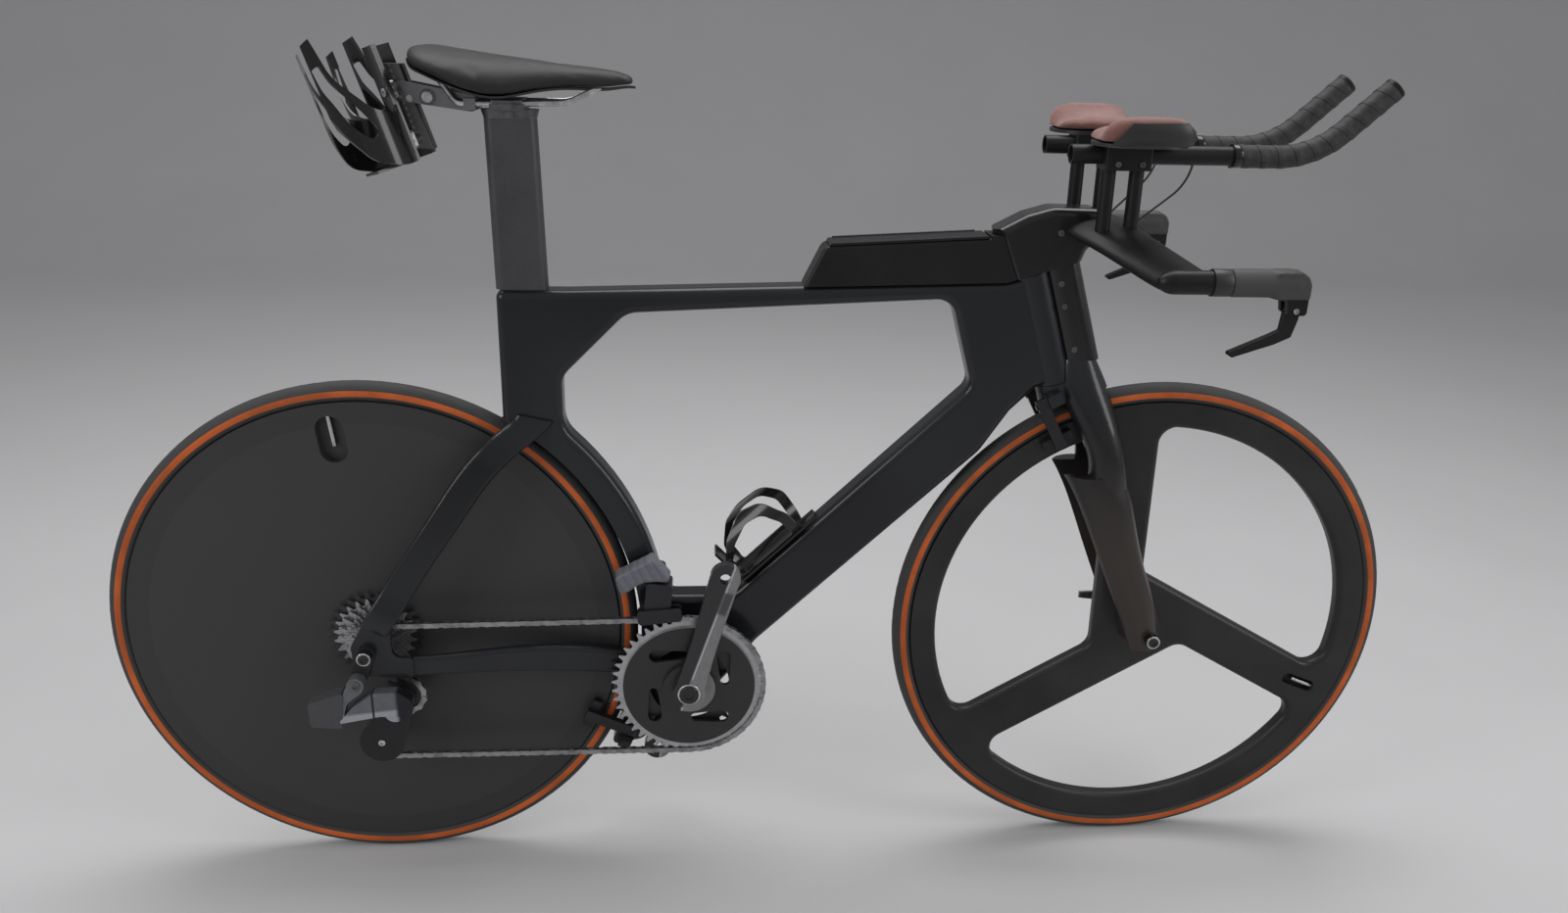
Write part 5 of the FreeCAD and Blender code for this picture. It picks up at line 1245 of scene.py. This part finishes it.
class BIKE_OT_fasteners(bpy.types.Operator):
    """Puts the screws on the bike"""

    bl_idname = "bike.fasteners"
    bl_label = "Fasteners"

    def execute(self, context):
        model = socket_bolt("cap_screw", 1.0, 1.0)
        for name, body, slot, place, axis, (radius, height) in bolt_rows():
            shape = Matrix.Diagonal((radius, radius, height, 1))
            obj = copy_of(model, aim(place, axis) @ shape)
            obj.name = name
            obj.data.name = name
            finish_piece(obj, body, slot)
        discard(model)
        return {"FINISHED"}


CAMERA_PLACE = (-0.0941, -1.4496, 1.0955)
CAMERA_RIGHT = Vector((0.99734, -0.06928, 0.02271))
CAMERA_UP = Vector((0.00222, 0.34027, 0.94033))
CAMERA_LENS = 27.94
SENSOR_WIDTH = 36.0


FLOOR_COLOUR = (0.50, 0.50, 0.505)
WORLD_COLOUR = (0.92, 0.92, 0.94, 1)
WORLD_STRENGTH = 0.42
LAMPS = (
    ("top_box", (0.0, 0.6, 3.0), (0, 0, 0.4), (3.4, 1.6), 70),
    ("left_box", (-2.6, -1.6, 1.8), (-0.2, 0, 0.6), (1.2, 1.8), 30),
    ("right_box", (2.8, -1.2, 1.8), (0.2, 0, 0.6), (1.2, 1.8), 30),
)
FLOOR_HALF_X = 14.0
FLOOR_HALF_Y = 8.0
WALL_Y = 6.5
WALL_H = 7.0
WALL_BEND = 2.6


def soft_box(name, place, aim_at, size, energy):
    """A square soft lamp that looks at a point."""
    lamp = bpy.data.lights.new(name, "AREA")
    lamp.shape = "RECTANGLE"
    lamp.size, lamp.size_y = size
    lamp.energy = energy
    obj = bpy.data.objects.new(name, lamp)
    obj.location = place
    obj.rotation_euler = (Vector(aim_at) - Vector(place)).to_track_quat("-Z", "Y").to_euler()
    obj.visible_camera = False
    bpy.context.scene.collection.objects.link(obj)
    return obj


def sweep_backdrop():
    """A pale floor that curves up into a wall behind the bike."""
    obj = new_piece("studio_floor", bpy.ops.mesh.primitive_plane_add, size=2)
    place_mesh(obj, Matrix.Diagonal((FLOOR_HALF_X, FLOOR_HALF_Y, 1, 1)))
    place_mesh(obj, Matrix.Translation((0, WALL_Y - FLOOR_HALF_Y, 0)))
    choose(obj, "EDGE", lambda e: all(obj.data.vertices[i].co.y > 0 for i in e.vertices))
    bpy.ops.mesh.extrude_region_move(TRANSFORM_OT_translate={"value": (0, 0, WALL_H)})
    object_mode()
    foot = {v.index for v in obj.data.vertices if v.co.y > 0 and v.co.z < 0.1}
    choose(obj, "EDGE", lambda e: all(i in foot for i in e.vertices))
    bpy.ops.mesh.bevel(offset=WALL_BEND, segments=24)
    object_mode()
    smooth(obj, 60)
    return obj


class BIKE_OT_stage(bpy.types.Operator):
    """Sets the floor, the lamps and the camera"""

    bl_idname = "bike.stage"
    bl_label = "Stage"

    def execute(self, context):
        scene = context.scene
        floor = sweep_backdrop()
        floor.data.materials.append(floor_finish("pale floor", FLOOR_COLOUR))
        for lamp in LAMPS:
            soft_box(*lamp)
        world = bpy.data.worlds.new("studio")
        world.use_nodes = True
        sky = world.node_tree.nodes["Background"].inputs
        sky["Color"].default_value = WORLD_COLOUR
        sky["Strength"].default_value = WORLD_STRENGTH
        scene.world = world
        scene.view_settings.view_transform = "Standard"
        camera = bpy.data.cameras.new("camera")
        camera.lens = CAMERA_LENS
        camera.sensor_fit = "HORIZONTAL"
        camera.sensor_width = SENSOR_WIDTH
        obj = bpy.data.objects.new("camera", camera)
        turn = Matrix((CAMERA_RIGHT, CAMERA_UP, CAMERA_RIGHT.cross(CAMERA_UP))).transposed()
        obj.matrix_world = Matrix.Translation(CAMERA_PLACE) @ turn.to_4x4()
        scene.collection.objects.link(obj)
        scene.camera = obj
        return {"FINISHED"}


class BIKE_PT_panel(bpy.types.Panel):
    """Lists the bike's operators and settings"""

    bl_label = "Time Trial Bike"
    bl_space_type = "VIEW_3D"
    bl_region_type = "UI"
    bl_category = "Bike"

    def draw(self, context):
        for group in (context.scene.bike_colours, context.scene.bike_sizes):
            for key in group.bl_rna.properties.keys():
                if key not in ("rna_type", "name"):
                    self.layout.prop(group, key)
        for operator in OPERATORS:
            self.layout.operator(operator.bl_idname)


OPERATORS = (
    BIKE_OT_finishes,
    BIKE_OT_stage,
    BIKE_OT_saddle,
    BIKE_OT_arm_pads,
    BIKE_OT_bar_tape,
    BIKE_OT_grips,
    BIKE_OT_tape_wrap,
    BIKE_OT_chain,
    BIKE_OT_fasteners,
)
CLASSES = (BikeColours, BikeSizes, *OPERATORS, BIKE_PT_panel)


def register():
    for item in CLASSES:
        bpy.utils.register_class(item)
    bpy.types.Scene.bike_colours = PointerProperty(type=BikeColours)
    bpy.types.Scene.bike_sizes = PointerProperty(type=BikeSizes)


def unregister():
    del bpy.types.Scene.bike_sizes
    del bpy.types.Scene.bike_colours
    for item in reversed(CLASSES):
        bpy.utils.unregister_class(item)


def main():
    register()
    for operator in OPERATORS:
        group, name = operator.bl_idname.split(".")
        getattr(getattr(bpy.ops, group), name)()


if __name__ == "__main__":
    main()
